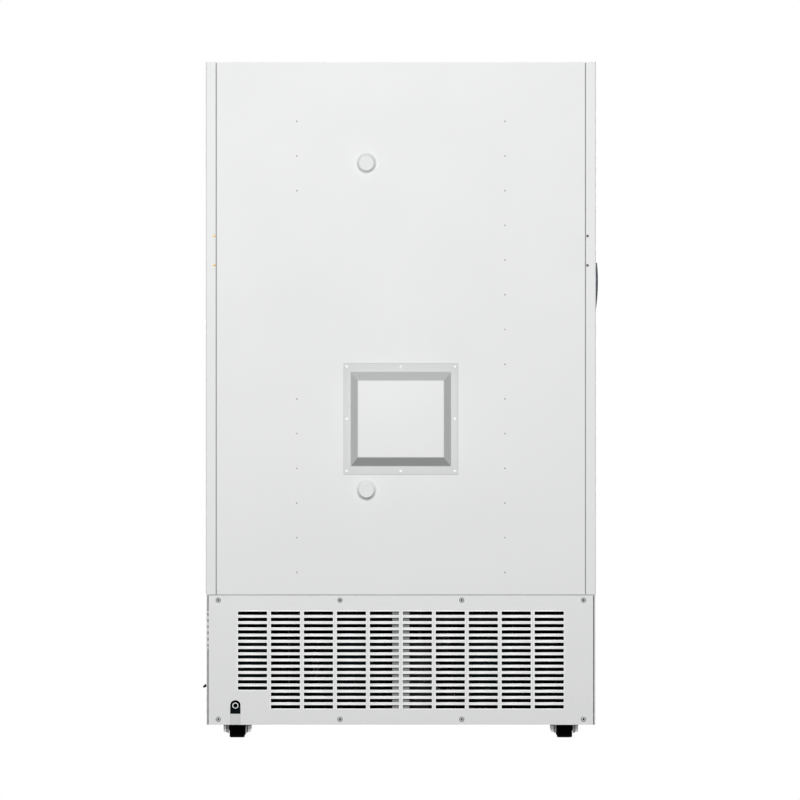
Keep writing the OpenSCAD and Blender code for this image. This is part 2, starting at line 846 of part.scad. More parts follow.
// Evaporator tube wound round the liner in one run, with two stubs at the rear
module evaporator_coil() {
    pts = [for (i = [0 : coil_turns - 1]) let (s = i % 2 == 0 ? 1 : -1, z = coil_z(i))
        each [[-s * coil_x, coil_y0, z], [-s * coil_x, coil_y1, z],
            [s * coil_x, coil_y1, z], [s * coil_x, coil_y0, z]]];
    color("peru") {
        pipe(pts, coil_r, bend);
        both() bar([stub_x, coil_y1, stub_z], [stub_x, duct_y0 + face_fit, stub_z], coil_r);
    }
}

// Threaded inserts flush in the rear strips
module threaded_inserts() {
    proud = 0.4;
    color("goldenrod") both() for (z = insert_z) difference() {
        rod_y(insert_x, z, back_y - insert_l, back_y + proud, insert_r);
        rod_y(insert_x, z, back_y - insert_l - eps, back_y + proud + eps, insert_bore_r);
    }
}

// Rivet heads on the back panel, in one full and one broken column
module back_panel_rivets() {
    head_h = 0.8;
    full = [for (i = [0 : rivet_rows - 1]) i];
    broken = [for (i = full) if (i < 3 || i > 7) i];
    color("gray") {
        for (i = full)
            rod_y(-rivet_x, rivet_top - i * rivet_pitch, back_y, back_y + head_h, rivet_r);
        for (i = broken)
            rod_y(rivet_x, rivet_top - i * rivet_pitch, back_y, back_y + head_h, rivet_r);
    }
}

// Flanged sleeves of the two access ports
module port_sleeves() {
    color("white") for (z = port_z) difference() {
        union() {
            rod_y(port_x, z, in_back, back_y, sleeve_r);
            rod_y(port_x, z, back_y, back_y + port_flange_t, port_flange_r);
        }
        rod_y(port_x, z, in_back - eps, back_y + port_flange_t + eps, port_bore_r);
    }
}

// Port plug with a grooved cap and a long stem
module port_plug(z) {
    y0 = back_y + port_flange_t;
    groove = 3;
    difference() {
        union() {
            rod_y(port_x, z, y0, y0 + cap_h - groove, cap_r);
            translate([port_x, y0 + cap_h - groove, z]) rotate([-90, 0, 0])
                cylinder(h = groove, r1 = cap_r, r2 = cap_r - groove);
            rod_y(port_x, z, y0 - wall_back + sleeve_r, y0, port_bore_r - run_fit);
        }
        translate([port_x, y0 + cap_h / 2, z]) rotate([-90, 0, 0]) difference() {
            cylinder(h = groove, r = cap_r + eps);
            translate([0, 0, -eps]) cylinder(h = groove + 2 * eps, r = cap_r - groove / 2);
        }
    }
}

module port_plug_upper() { color("white") port_plug(port_high_z); }

module port_plug_lower() { color("white") port_plug(port_low_z); }

hinge_end_r = 18;
hinge_flange_x = gasket_x + 2;
inner_y0 = front_y + breaker_t;
inner_y1 = inner_y0 + inner_t;
inner_hw = rec_hw - inner_gap;
inner_pin_x = inner_hw - inner_pivot;
inner_pin_y = inner_y0 + inner_pivot;
inner_pin_l = 10;
inner_mid = (rec_z0 + rec_z1) / 2;
inner_doors = [[rec_z0 + inner_gap_z, inner_mid - inner_gap_z / 2],
    [inner_mid + inner_gap_z / 2, rec_z1 - inner_gap_z]];
tab_t = 3;

// Hinge plate seen from above
module hinge_plan() {
    translate([hinge_x, hinge_y]) circle(hinge_end_r);
    flat(hinge_flange_x, hinge_x + hinge_end_r, hinge_y, front_y);
}

// Door hinge bracket whose plate starts at z; up is 1 for the lower one
module door_hinge(z, up) {
    y0 = front_y - hinge_flange_t;
    translate([0, 0, z]) linear_extrude(hinge_plate_t) hinge_plan();
    box(hinge_flange_x, hinge_x + hinge_end_r, y0, front_y,
        up > 0 ? z : z + hinge_plate_t - hinge_flange_h,
        up > 0 ? z + hinge_flange_h : z + hinge_plate_t);
    translate([hinge_x, hinge_y, up > 0 ? z : z - pin_l])
        cylinder(h = hinge_plate_t + pin_l, r = pin_r);
}

// Tab on the breaker strip with pins for the inner doors
module inner_hinge(z) {
    box(inner_pin_x - inner_pivot, rec_hw, inner_pin_y - inner_pivot, inner_pin_y + inner_pivot,
        z - tab_t / 2, z + tab_t / 2);
    translate([inner_pin_x, inner_pin_y, z - inner_pin_l])
        cylinder(h = 2 * inner_pin_l, r = inner_pin_r);
}

// Hinge brackets of the door and of the inner doors
module hinge_brackets() {
    color("silver") {
        door_hinge(door_z1 + 1, -1);
        door_hinge(door_z0 - 1 - hinge_plate_t, 1);
        intersection() {
            for (z = [rec_z0 + inner_gap_z / 2, inner_mid, rec_z1 - inner_gap_z / 2])
                inner_hinge(z);
            box(0, half_w, front_y, rec_y, rec_z0 + face_fit, rec_z1 - face_fit);
        }
    }
}

pivot_x = -half_w + lever_in;
pivot_y = door_y0 - lever_out;
lever_r = 9;
pivot_pin_r = 4;
lobe = [-18, -6];
lobe_r = 5;
cap_t = 12;
housing_y0 = pivot_y - 14;
housing_y1 = door_y1 - 9.5;
housing_x1 = pivot_x + 46;
keeper_t = 3;
keeper_z0 = housing_z0 + housing_h / 2 + 14;
keeper_h = 40;
keeper_y0 = door_y0 + 12;
keeper_y1 = front_y + 60;

// Catch plate on the cabinet's side that reaches into the handle housing
module latch_keeper() {
    screw_in = 15;
    color("silver") difference() {
        sideways(-half_w - keeper_t, -half_w)
            rounded(keeper_y0, keeper_y1, keeper_z0, keeper_z0 + keeper_h, 8);
        for (z = [keeper_z0 + keeper_h / 4, keeper_z0 + keeper_h * 3 / 4])
            rod_x(keeper_y1 - screw_in, z, -half_w - keeper_t - eps, -half_w - keeper_t / 2, 4);
    }
}

// Square tube along Y
module tube_y(x0, x1, y0, y1, z0, z1) {
    difference() {
        box(x0, x1, y0, y1, z0, z1);
        box(x0 + tube_t, x1 - tube_t, y0 - eps, y1 + eps, z0 + tube_t, z1 - tube_t);
    }
}

// Square tube along X
module tube_x(x0, x1, y0, y1, z0, z1) {
    difference() {
        box(x0, x1, y0, y1, z0, z1);
        box(x0 - eps, x1 + eps, y0 + tube_t, y1 - tube_t, z0 + tube_t, z1 - tube_t);
    }
}

// Corner post, open towards the middle, between heights z0 and z1
module corner_post(y, s, z0, z1) {
    x1 = base_skin - weld_gap;
    box(x1 - post_t, x1, min(y, y + s * post_leg), max(y, y + s * post_leg), z0, z1);
    box(x1 - post_leg, x1, min(y, y + s * post_t), max(y, y + s * post_t), z0, z1);
}

// Welded frame: bottom rails, posts, top rails and the header over the grille
module base_frame() {
    z0 = deck_z1 + weld_gap;
    z1 = top_rail_z0 - weld_gap;
    header_z = base_top - skin_t;
    cross = rail_in - weld_gap;
    color("lightgray") {
        both() {
            tube_y(rail_in, base_skin - weld_gap, rail_y0, rail_y1, base_z0, rail_top);
            corner_post(rail_y0, 1, z0, z1);
            corner_post(rail_y1, -1, z0, z1);
            difference() {
                union() {
                    box(rail_in, base_skin - weld_gap, rail_y0, rail_y1,
                        top_rail_z0, header_z - weld_gap);
                    box(rail_in, base_skin - weld_gap, front_y + skin_t, rail_y1,
                        top_rail_z0, cab_z0);
                }
                box(rail_in + tube_t, base_skin - tube_t, rail_y0 - eps, rail_y1 + eps,
                    top_rail_z0 + tube_t, header_z - tube_t);
            }
        }
        for (y = [rail_y0, rail_y1 - cross_rail_w])
            tube_x(-cross, cross, y, y + cross_rail_w, base_z0, rail_top);
        tube_x(-cross, cross, rail_y0, rail_y0 + cross_rail_w, top_rail_z0,
            header_z - weld_gap);
        tube_x(-cross, cross, rail_y1 - cross_rail_w, rail_y1, top_rail_z0, cab_z0);
        difference() {
            box(-mid_post_w / 2, mid_post_w / 2, rail_y1 - 20, rail_y1 - 4, z0, z1);
            box(-mid_post_w / 2 + post_t, mid_post_w / 2 - post_t, rail_y1 - 20 - eps,
                rail_y1 - 4 - post_t, z0 - eps, z1 + eps);
        }
        box(-base_skin + weld_gap, base_skin - weld_gap, grille_y, front_y, header_z, base_top);
        box(-base_skin + weld_gap, base_skin - weld_gap, grille_y, grille_y + skin_t,
            base_top - lip_d - skin_t, base_top);
    }
}

bracket_t = 3;
bracket_y = rail_y1 - 22;
gland_r = 8;

// Deck that carries the machinery, with the bracket of the cord gland
module base_deck() {
    bracket_h = 54;
    color("lightgray") {
        box(-base_skin + weld_gap, base_skin - weld_gap, rail_y0, rail_y1, rail_top, deck_z1);
        difference() {
            box(cord_x - 30, cord_x + 30, bracket_y, bracket_y + bracket_t,
                deck_z1 + weld_gap, deck_z1 + bracket_h);
            rod_y(cord_x, cord_z, bracket_y - eps, bracket_y + bracket_t + eps,
                gland_r + face_fit);
        }
    }
}

louvre_y0 = 60;
louvre_y1 = 360;
louvre_h = 8;
louvre_out = 2.2;
louvre_n = 6;
louvre_top = 371;
louvre_pitch = 18.3;
toggle_z = 157;
toggle_r = 2.8;
toggle_slot = 9;
hem_t = 3;
grille_pin_z = grille_z0 + grille_pivot;
grille_pin_y = grille_y + grille_d / 2 + 2.5;

// Base side panel with its rear hem and the pin of the grille
module base_side() {
    box(base_skin, base_hw, grille_y, back_y, base_z0, base_top);
    box(base_hw - hem_t, base_hw, rail_y1 + face_fit, back_y, base_z0, base_top);
    rod_x(grille_pin_y, grille_pin_z, base_skin - 14, base_skin, grille_pin_r);
}

// Pressed louvre that opens downwards
module louvre(z) {
    upright(louvre_y0, louvre_y1) polygon([[base_skin, z], [base_hw, z],
        [base_hw + louvre_out, z - louvre_h], [base_skin + louvre_out, z - louvre_h]]);
}

module base_side_right() {
    slot_x = base_skin - eps;
    color("white") difference() {
        union() {
            difference() {
                base_side();
                for (i = [0 : louvre_n - 1]) {
                    z = louvre_top - i * louvre_pitch;
                    box(slot_x, base_hw + eps, louvre_y0, louvre_y1, z - louvre_h, z);
                }
            }
            for (i = [0 : louvre_n - 1]) louvre(louvre_top - i * louvre_pitch);
        }
        box(slot_x, base_hw + eps, -toggle_slot / 2, toggle_slot / 2,
            toggle_z - toggle_slot, toggle_z + toggle_slot);
    }
}

module base_side_left() { color("white") mirror([1, 0, 0]) base_side(); }

// Rear cover with its vents, screw holes and the slot for the cord
module rear_grille() {
    y0 = back_y - skin_t;
    slot_r = cord_slot_w / 2;
    color("white") {
        difference() {
            upright(y0, back_y) difference() {
                flat(-cover_hw, cover_hw, base_z0, base_top);
                for (c = [0 : vent_cols - 1],
                    r = [0 : vent_rows - 1 - (c == vent_cols - 1 ? vent_short : 0)])
                    translate([(c - (vent_cols - 1) / 2) * vent_pitch_x,
                        vent_top - r * vent_pitch_z]) square([vent_l, vent_h], center = true);
                flat(cord_x - slot_r, cord_x + slot_r, base_z0 - eps, cord_z + 1);
                translate([cord_x, cord_z + 1]) circle(slot_r);
            }
            for (p = grille_screws)
                rod_y(p[0], p[1], y0 - eps, back_y + eps, cover_shank_r + face_fit);
        }
        both() box(cover_hw - skin_t, cover_hw, back_y - cover_lip, back_y, base_z0, base_top);
        box(-cover_hw, cover_hw, back_y - cover_lip, back_y, base_top - skin_t, base_top);
    }
}

// Hexagon along Y
module hex_y(x, z, y0, y1, af) {
    translate([x, y1, z]) rotate([90, 0, 0]) cylinder(h = y1 - y0, r = af / sqrt(3), $fn = 6);
}

// Cord gland with its thread, nut and dome
module cord_gland() {
    nut_h = 8;
    dome_h = 14;
    y1 = bracket_y + bracket_t;
    color("lightgray") difference() {
        union() {
            rod_y(cord_x, cord_z, bracket_y - nut_h, y1, gland_r);
            hex_y(cord_x, cord_z, bracket_y - nut_h, bracket_y, gland_af);
            hex_y(cord_x, cord_z, y1, y1 + dome_h * 0.6, gland_af);
            rod_y(cord_x, cord_z, y1, y1 + dome_h, gland_af / 2);
        }
        rod_y(cord_x, cord_z, bracket_y - nut_h - eps, y1 + dome_h + eps, gland_bore_r);
    }
}

cond_y0 = rail_y0 + 12;
cond_y1 = cond_y0 + cond_d;
cond_z1 = deck_z1 + cond_h;
shroud_y0 = cond_y1 + 6;
ring_d = 24;
ring_t = 2;
fan_z = (deck_z1 + cond_z1) / 2;
motor_y0 = shroud_y0 + ring_d + 10;
motor_l = 46;
shaft_r = 4;
hub_r = 30;
hub_l = 20;
arms = 3;

// Finned condenser with return bends at both ends
module condenser() {
    frame = 8;
    rows = 4;
    bend_pitch = cond_h / (2 * rows);
    tube_r = 5;
    color("slategray") {
        upright(cond_y0, cond_y1) difference() {
            flat(-cond_hw, cond_hw, deck_z1, cond_z1);
            for (x = [-cond_hw + fin_t : fin_pitch : cond_hw - fin_pitch])
                flat(x, x + fin_pitch - fin_t, deck_z1 + frame, cond_z1 - frame);
        }
        both() for (i = [0 : rows - 1])
            translate([cond_hw - eps, (cond_y0 + cond_y1) / 2, deck_z1 + (2 * i + 1) * bend_pitch])
                rotate([0, 90, 0]) rotate([90, 0, 0]) rotate_extrude(angle = 180)
                    translate([bend_pitch / 2, 0]) circle(tube_r);
    }
}

// One fan motor with its shaft, on arms from the ring
module fan_motor() {
    y0 = shroud_y0 + ring_d;
    arm_w = 14;
    difference() {
        rod_y(0, fan_z, shroud_y0, y0, fan_open_r + ring_t);
        rod_y(0, fan_z, shroud_y0 - eps, y0 + eps, fan_open_r);
    }
    for (i = [0 : arms - 1]) translate([0, 0, fan_z]) rotate([0, i * 360 / arms, 0])
        box(-arm_w / 2, arm_w / 2, y0, y0 + 4, motor_r - 6, fan_open_r + ring_t);
    rod_y(0, fan_z, y0, motor_y0 + motor_l, motor_r);
    rod_y(0, fan_z, shroud_y0 - 4, y0, shaft_r);
}

// Baffle round the condenser, so that air passes only through its fins
module condenser_baffle() {
    y0 = cond_y0 + 2;
    x1 = base_skin - weld_gap - post_t - face_fit;
    upright(y0, y0 + skin_t) difference() {
        flat(-x1, x1, deck_z1, top_rail_z0 - weld_gap);
        flat(-cond_hw - face_fit, cond_hw + face_fit, deck_z1 - eps, cond_z1 + face_fit);
    }
}

// Shroud behind the condenser with two fan motors, and the baffle round the condenser
module fan_units() {
    color("dimgray") {
        condenser_baffle();
        upright(shroud_y0, shroud_y0 + skin_t) difference() {
            flat(-cond_hw, cond_hw, deck_z1, cond_z1);
            for (x = [-fan_x, fan_x]) translate([x, fan_z]) circle(fan_open_r);
        }
        box(-cond_hw, cond_hw, cond_y1, shroud_y0, cond_z1 - skin_t, cond_z1);
        both() box(cond_hw - skin_t, cond_hw, cond_y1, shroud_y0, deck_z1, cond_z1);
        for (x = [-fan_x, fan_x]) translate([x, 0, 0]) fan_motor();
    }
}

// Fan wheel with pitched blades
module fan_blade() {
    pitch_deg = 28;
    tip_r = fan_open_r - fan_gap;
    y0 = shroud_y0 + 2;
    blade_w = 52;
    blade_t = 2;
    difference() {
        union() {
            rod_y(0, fan_z, y0, y0 + hub_l, hub_r);
            intersection() {
                for (i = [0 : blades - 1]) translate([0, y0 + hub_l / 2, fan_z])
                    rotate([0, i * 360 / blades, 0]) rotate([0, 0, pitch_deg])
                        box(-blade_w / 2, blade_w / 2, -blade_t / 2, blade_t / 2, hub_r - 6, tip_r);
                rod_y(0, fan_z, y0 - 8, y0 + hub_l, tip_r);
            }
        }
        rod_y(0, fan_z, y0 - eps, y0 + hub_l + eps, shaft_r + run_fit);
    }
}

module fan_blade_right() { color("darkgray") translate([fan_x, 0, 0]) fan_blade(); }

module fan_blade_left() { color("darkgray") translate([-fan_x, 0, 0]) fan_blade(); }

comp_foot_z = deck_z1 + 20;
comp_z1 = comp_foot_z + comp_h;
comp_plate_t = 3;
comp_port_dx = 40;
comp_port_dy = 50;
comp_port_z = comp_z1 + 12;

// Hermetic compressor at x on rubber mounts, with two stubs and a terminal box
module compressor(x) {
    round_r = 60;
    seam_h = 8;
    plate_hw = comp_r + 6;
    mount_r = 12;
    mount_in = 16;
    translate([x, comp_y, 0]) {
        translate([0, 0, comp_foot_z + comp_plate_t]) rotate_extrude() intersection() {
            rounded(-comp_r, comp_r, 0, comp_h - comp_plate_t, round_r);
            flat(0, comp_r, 0, comp_h);
        }
        translate([0, 0, comp_foot_z + comp_h / 2]) cylinder(h = seam_h, r = comp_r + 3);
        translate([0, 0, comp_foot_z]) linear_extrude(comp_plate_t)
            rounded(-plate_hw, plate_hw, -plate_hw, plate_hw, mount_in);
        for (a = [-1, 1], b = [-1, 1])
            translate([a * (plate_hw - mount_in), b * (plate_hw - mount_in), deck_z1])
                cylinder(h = comp_foot_z - deck_z1, r = mount_r);
        for (p = comp_ports) translate([p[0], p[1], comp_z1 - comp_port_dx])
            cylinder(h = comp_port_z - comp_z1 + comp_port_dx, r = line_r + 2);
        box(-30, 30, -comp_r - 24, -comp_r + 20, comp_foot_z + 70, comp_foot_z + 140);
    }
}

comp_ports = [[comp_port_dx, -comp_port_dy / 2], [-comp_port_dx, comp_port_dy / 2]];

module compressor_first_stage() { color("dimgray") compressor(-comp_first_x); }

module compressor_second_stage() { color("dimgray") compressor(comp_second_x); }

sep_x = -55;
sep_y = 330;
sep_r = 34;
sep_h = 210;
line_high = top_rail_z0 - 4;
line_mid = line_high - 34;
line_y = duct_y0 + 24;
line_pitch = 26;

// Refrigerant lines of both stages and the oil separator on the deck
module refrigerant_lines() {
    c = [-comp_first_x, comp_y, 0] + [comp_ports[0][0], comp_ports[0][1], comp_port_z];
    d = [-comp_first_x, comp_y, 0] + [comp_ports[1][0], comp_ports[1][1], comp_port_z];
    e = [comp_second_x, comp_y, 0] + [comp_ports[1][0], comp_ports[1][1], comp_port_z];
    f = [comp_second_x, comp_y, 0] + [comp_ports[0][0], comp_ports[0][1], comp_port_z];
    cond_y = (cond_y0 + cond_y1) / 2;
    up_z = boss_z - pocket_hh;
    out_x = cond_hw - 80;
    color("peru") {
        pipe([c, [c[0], c[1], line_high], [c[0], cond_y, line_high],
            [c[0], cond_y, cond_z1]], line_r, bend);
        pipe([[out_x, cond_y, cond_z1], [out_x, cond_y, line_high], [out_x, line_y, line_high],
            [line_pitch, line_y, line_high], [line_pitch, line_y, up_z]], line_r, bend);
        pipe([[0, line_y, up_z], [0, line_y, line_mid], [0, e[1], line_mid],
            [e[0], e[1], line_mid], e], line_r, bend);
        pipe([[-line_pitch, line_y, up_z], [-line_pitch, line_y, line_mid],
            [d[0], line_y, line_mid], [d[0], d[1], line_mid], d], line_r, bend);
        pipe([f, [f[0], f[1], line_high - 14], [sep_x, f[1], line_high - 14],
            [sep_x, sep_y, line_high - 14], [sep_x, sep_y, deck_z1 + sep_h]], line_r, bend);
        translate([sep_x, sep_y, deck_z1]) rotate_extrude() intersection() {
            rounded(-sep_r, sep_r, 0, sep_h, 16);
            flat(0, sep_r, 0, sep_h);
        }
    }
}

ctrl_side = 51.5;
ctrl_w = 140;
ctrl_x1 = half_w - ctrl_side;
ctrl_x0 = ctrl_x1 - ctrl_w;
ctrl_y0 = 20;
ctrl_y1 = 260;
ctrl_h = 240;
switch_d = 28;
switch_hw = 14;
switch_hh = 18;
toggle_pivot = [base_skin - 5, toggle_z];
toggle_pin_r = 1.2;
toggle_tilt = 35;
toggle_run = half_w + side_reach - toggle_r - toggle_pivot[0];
toggle_tip = toggle_pivot + [toggle_run, -toggle_run * tan(toggle_tilt)];

// Electrical box on the deck, and the power switch's body with its pin
module control_box() {
    lid_t = 2;
    switch_x = base_skin - face_fit;
    color("silver") {
        box(ctrl_x0, ctrl_x1, ctrl_y0, ctrl_y1, deck_z1, deck_z1 + ctrl_h);
        box(ctrl_x0 - lid_t, ctrl_x1 + lid_t, ctrl_y0 - lid_t, ctrl_y1 + lid_t,
            deck_z1 + ctrl_h, deck_z1 + ctrl_h + lid_t);
        difference() {
            box(switch_x - switch_d, switch_x, -switch_hw, switch_hw,
                toggle_z - switch_hh, toggle_z + switch_hh);
            box(toggle_pivot[0] - toggle_r - eps, switch_x + eps, -toggle_r - face_fit,
                toggle_r + face_fit, toggle_z - toggle_slot, toggle_z + toggle_slot);
        }
        rod_y(toggle_pivot[0], toggle_z, -switch_hw / 2, switch_hw / 2, toggle_pin_r);
    }
}

// Lever of the power switch, tilted down
module power_toggle() {
    color("black") difference() {
        upright(-toggle_r, toggle_r) {
            translate(toggle_pivot) circle(toggle_r);
            translate(toggle_tip) circle(toggle_r);
            translate(toggle_pivot) rotate(-toggle_tilt)
                flat(0, norm(toggle_tip - toggle_pivot), -toggle_r, toggle_r);
        }
        rod_y(toggle_pivot[0], toggle_z, -toggle_r - eps, toggle_r + eps,
            toggle_pin_r + run_fit);
    }
}

leg_in = wheel_w / 2 + leg_gap;
leg_out = leg_in + leg_t;
crown_z0 = 58;
crown_z1 = 61;
race_z1 = rail_top - 4;
race_r = 26;
plate_hw = 50;
king_r = 8;
king_collar = 12;
brake_y = 40;
brake_z = 56;
brake_r = 5.5;
brake_pin_r = 3;

// Caster plate against the deck
module caster_plate() {
    hole_in = 9;
    translate([0, 0, race_z1]) linear_extrude(rail_top - race_z1) difference() {
        rounded(-plate_hw, plate_hw, -plate_hw, plate_hw, 8);
        for (x = [-1, 1], y = [-1, 1])
            translate([x * (plate_hw - hole_in), y * (plate_hw - hole_in)]) circle(4.5);
    }
}

// Fork with its axle and nuts, for an axle at y and a crown round the origin
module caster_fork(y) {
    difference() {
        union() {
            box(-leg_out, leg_out, -20, y + 14, crown_z0, crown_z1);
            both() sideways(leg_in, leg_out) {
                translate([y, wheel_r]) circle(leg_end_r);
                polygon([[y - leg_end_r, wheel_r], [y + leg_end_r, wheel_r],
                    [y + 14, crown_z1], [-20, crown_z1]]);
            }
        }
        children();
    }
    rod_x(y, wheel_r, -leg_out - nut_t / 2, leg_out + nut_t / 2, axle_r);
    both() translate([leg_out, y, wheel_r]) rotate([0, 90, 0])
        cylinder(h = nut_t, r = nut_af / sqrt(3), $fn = 6);
}

// Fixed rear casters without their wheels, and the front casters' plates
module caster_mounts() {
    color("silver") both() {
        translate([caster_x, caster_rear_y, 0]) {
            caster_plate();
            translate([0, 0, crown_z1]) cylinder(h = race_z1 - crown_z1, r = race_r);
            caster_fork(0);
        }
        translate([caster_x, -caster_front_y, 0]) {
            caster_plate();
            translate([0, 0, crown_z0 - face_fit]) cylinder(h = race_z1 - crown_z0, r = king_r);
            translate([0, 0, crown_z0 - face_fit - 1]) cylinder(h = 1, r = king_collar);
        }
    }
}

// Swivelling front fork with the lugs and the pin of its brake
module front_fork() {
    lug_r = 6.5;
    translate([caster_x, -caster_front_y, 0]) {
        caster_fork(trail) translate([0, 0, crown_z0 - eps])
            cylinder(h = 2 * eps + crown_z1 - crown_z0, r = king_r + run_fit);
        difference() {
            translate([0, 0, crown_z1]) cylinder(h = race_z1 - crown_z1 - face_fit, r = race_r);
            translate([0, 0, crown_z1 - eps])
                cylinder(h = race_z1 - crown_z1 + eps, r = king_r + run_fit);
        }
        both() sideways(leg_in, leg_out) {
            translate([brake_y, brake_z]) circle(lug_r);
            polygon([[trail, brake_z - 14], [brake_y + 4, brake_z - 5],
                [brake_y, brake_z + lug_r], [trail, crown_z1]]);
        }
        rod_x(brake_y, brake_z, -leg_out, leg_out, brake_pin_r);
    }
}

module front_fork_right() { color("silver") front_fork(); }

module front_fork_left() { color("silver") mirror([1, 0, 0]) front_fork(); }

// Brake pedal on its barrel between the lugs of a front fork
module caster_brake() {
    barrel_hw = leg_in - face_fit;
    pedal_hw = 17;
    translate([caster_x, -caster_front_y, 0]) difference() {
        union() {
            rod_x(brake_y, brake_z, -barrel_hw, barrel_hw, brake_r);
            sideways(-pedal_hw, pedal_hw) polygon([[brake_y, brake_z - 5], [47, 44],
                [57, 44], [57, 50], [50, 51], [brake_y + 4, brake_z + 3]]);
        }
        rod_x(brake_y, brake_z, -leg_in, leg_in, brake_pin_r + run_fit);
    }
}

module caster_brake_right() { color("dimgray") caster_brake(); }

module caster_brake_left() { color("dimgray") mirror([1, 0, 0]) caster_brake(); }

// Wheel at x and y, with a hub, a shallow dish on each side and rounded edges
module caster_wheel(x, y) {
    dish = 4;
    hub = 12;
    rim = 22;
    translate([x, y, wheel_r]) rotate([0, 90, 0]) rotate_extrude() difference() {
        intersection() {
            rounded(-wheel_r, wheel_r, -wheel_w / 2, wheel_w / 2, wheel_edge);
            flat(axle_r + run_fit, wheel_r, -wheel_w / 2, wheel_w / 2);
        }
        for (s = [-1, 1]) translate([hub, s * wheel_w / 2 - dish])
            square([rim - hub, 2 * dish]);
    }
}

module caster_wheel_rear_right() {
    color("#222222") caster_wheel(caster_x, caster_rear_y);
}

module caster_wheel_rear_left() {
    color("#222222") caster_wheel(-caster_x, caster_rear_y);
}

module caster_wheel_front_right() {
    color("#222222") caster_wheel(caster_x, trail - caster_front_y);
}

module caster_wheel_front_left() {
    color("#222222") caster_wheel(-caster_x, trail - caster_front_y);
}

grille_hw = base_skin - grille_end_gap;
grille_z1 = base_top - lip_d - skin_t - grille_gap;
grille_mid = (grille_z0 + grille_z1) / 2;
filter_hw = 330;
filter_hh = 140;
filter_t = 12;

// Drop-down front grille with folded edges and a boss at each pivot
module front_grille() {
    boss_r = 7;
    boss_l = 9;
    color("white") difference() {
        union() {
            difference() {
                box(-grille_hw, grille_hw, grille_y, grille_y + grille_d, grille_z0, grille_z1);
                box(-grille_hw + skin_t, grille_hw - skin_t, grille_y + skin_t,
                    grille_y + grille_d + eps, grille_z0 + skin_t, grille_z1 - skin_t);
            }
            both() rod_x(grille_pin_y, grille_pin_z, grille_hw - boss_l, grille_hw - eps, boss_r);
        }
        both() rod_x(grille_pin_y, grille_pin_z, grille_hw - boss_l - eps, grille_hw + eps,
            grille_pin_r + run_fit);
        for (c = [0 : vent_cols - 1], r = [0 : grille_rows - 1])
            translate([(c - (vent_cols - 1) / 2) * vent_pitch_x, 0,
                grille_mid + (r - (grille_rows - 1) / 2) * grille_pitch])
                box(-vent_l / 2, vent_l / 2, grille_y - eps, grille_y + skin_t + eps,
                    -grille_slot / 2, grille_slot / 2);
    }
}

// Filter mat in its frame, on the back of the grille
module air_filter() {
    bar_t = 10;
    y0 = grille_y + skin_t;
    color("gray") {
        difference() {
            box(-filter_hw, filter_hw, y0, y0 + filter_t,
                grille_mid - filter_hh, grille_mid + filter_hh);
            for (s = [-1, 1]) translate([s * filter_hw / 2, 0, grille_mid])
                box(-filter_hw / 2 + bar_t, filter_hw / 2 - bar_t, y0 + filter_t / 2,
                    y0 + filter_t + eps, -filter_hh + bar_t, filter_hh - bar_t);
        }
    }
}

valve_side = 131.5;
valve_x = -half_w + valve_side;
valve_z = housing_z0 - valve_down;
lock_x = half_w - lock_side;
lock_z = housing_z0 - lock_down;
valve_out = 18;
tube_r = 10;
stem_r = 5;
bush_r = pin_r + bush_wall;
lock_ring_r = lock_r + 4;
lock_out = 6;
lock_l = 22;
panel_rim = 6;
panel_out = 2;
door_cut = skin_t + eps;

// Door seen from above, drawn in by an inset
module door_plan(inset) {
    hw = door_hw - inset;
    y0 = door_y0 + inset;
    r = door_r - inset;
    flat(-hw, hw, y0 + r, door_y1 - inset);
    flat(-hw + r, hw - r, y0, door_y1 - inset);
    for (x = [-hw + r, hw - r]) translate([x, y0 + r]) circle(r);
}

// Holes that the hinge bushings, the lock and the valve need in the door
module door_holes(fit) {
    for (z = [door_z0 - eps, door_z1 - bush_h])
        translate([hinge_x, hinge_y, z]) cylinder(h = bush_h + eps, r = bush_r + fit);
    rod_y(-lock_x, lock_z, door_y0 - eps, door_y0 + lock_l, lock_ring_r + fit);
    rod_y(valve_x, valve_z, door_y0 - eps, door_y1 + eps, tube_r + fit);
    box(-panel_w / 2 + panel_rim - fit, panel_w / 2 - panel_rim + fit, door_y0 - eps,
        door_y0 + panel_d, panel_z - panel_h / 2 + panel_rim - fit,
        panel_z + panel_h / 2 - panel_rim + fit);
}

// Bushing that a hinge pin runs in, starting at height z
module hinge_bush(z, bore_z) {
    difference() {
        translate([hinge_x, hinge_y, z]) cylinder(h = bush_h, r = bush_r);
        translate([hinge_x, hinge_y, bore_z]) cylinder(h = pin_l + eps, r = pin_r + run_fit);
    }
}

// Folded steel door with its two hinge bushings
module door_shell() {
    lip_hw = door_hw - door_lip;
    color("white") {
        difference() {
            translate([0, 0, door_z0]) linear_extrude(door_h) door_plan(0);
            translate([0, 0, door_z0 + skin_t]) linear_extrude(door_h - 2 * skin_t)
                door_plan(skin_t);
            box(-lip_hw, lip_hw, door_y1 - door_cut, door_y1 + eps,
                door_z0 + door_lip, door_z1 - door_lip);
            door_holes(0);
        }
        hinge_bush(door_z0, door_z0 - eps);
        hinge_bush(door_z1 - bush_h, door_z1 - pin_l);
    }
}

// Foam of the door
module door_insulation() {
    color("khaki") difference() {
        translate([0, 0, door_z0 + skin_t]) linear_extrude(door_h - 2 * skin_t)
            door_plan(skin_t);
        box(-tray_hw - liner_t, tray_hw + liner_t, door_y1 - tray_d, door_y1,
            tray_z0 - liner_t, tray_z1 + liner_t);
        door_holes(face_fit);
    }
}

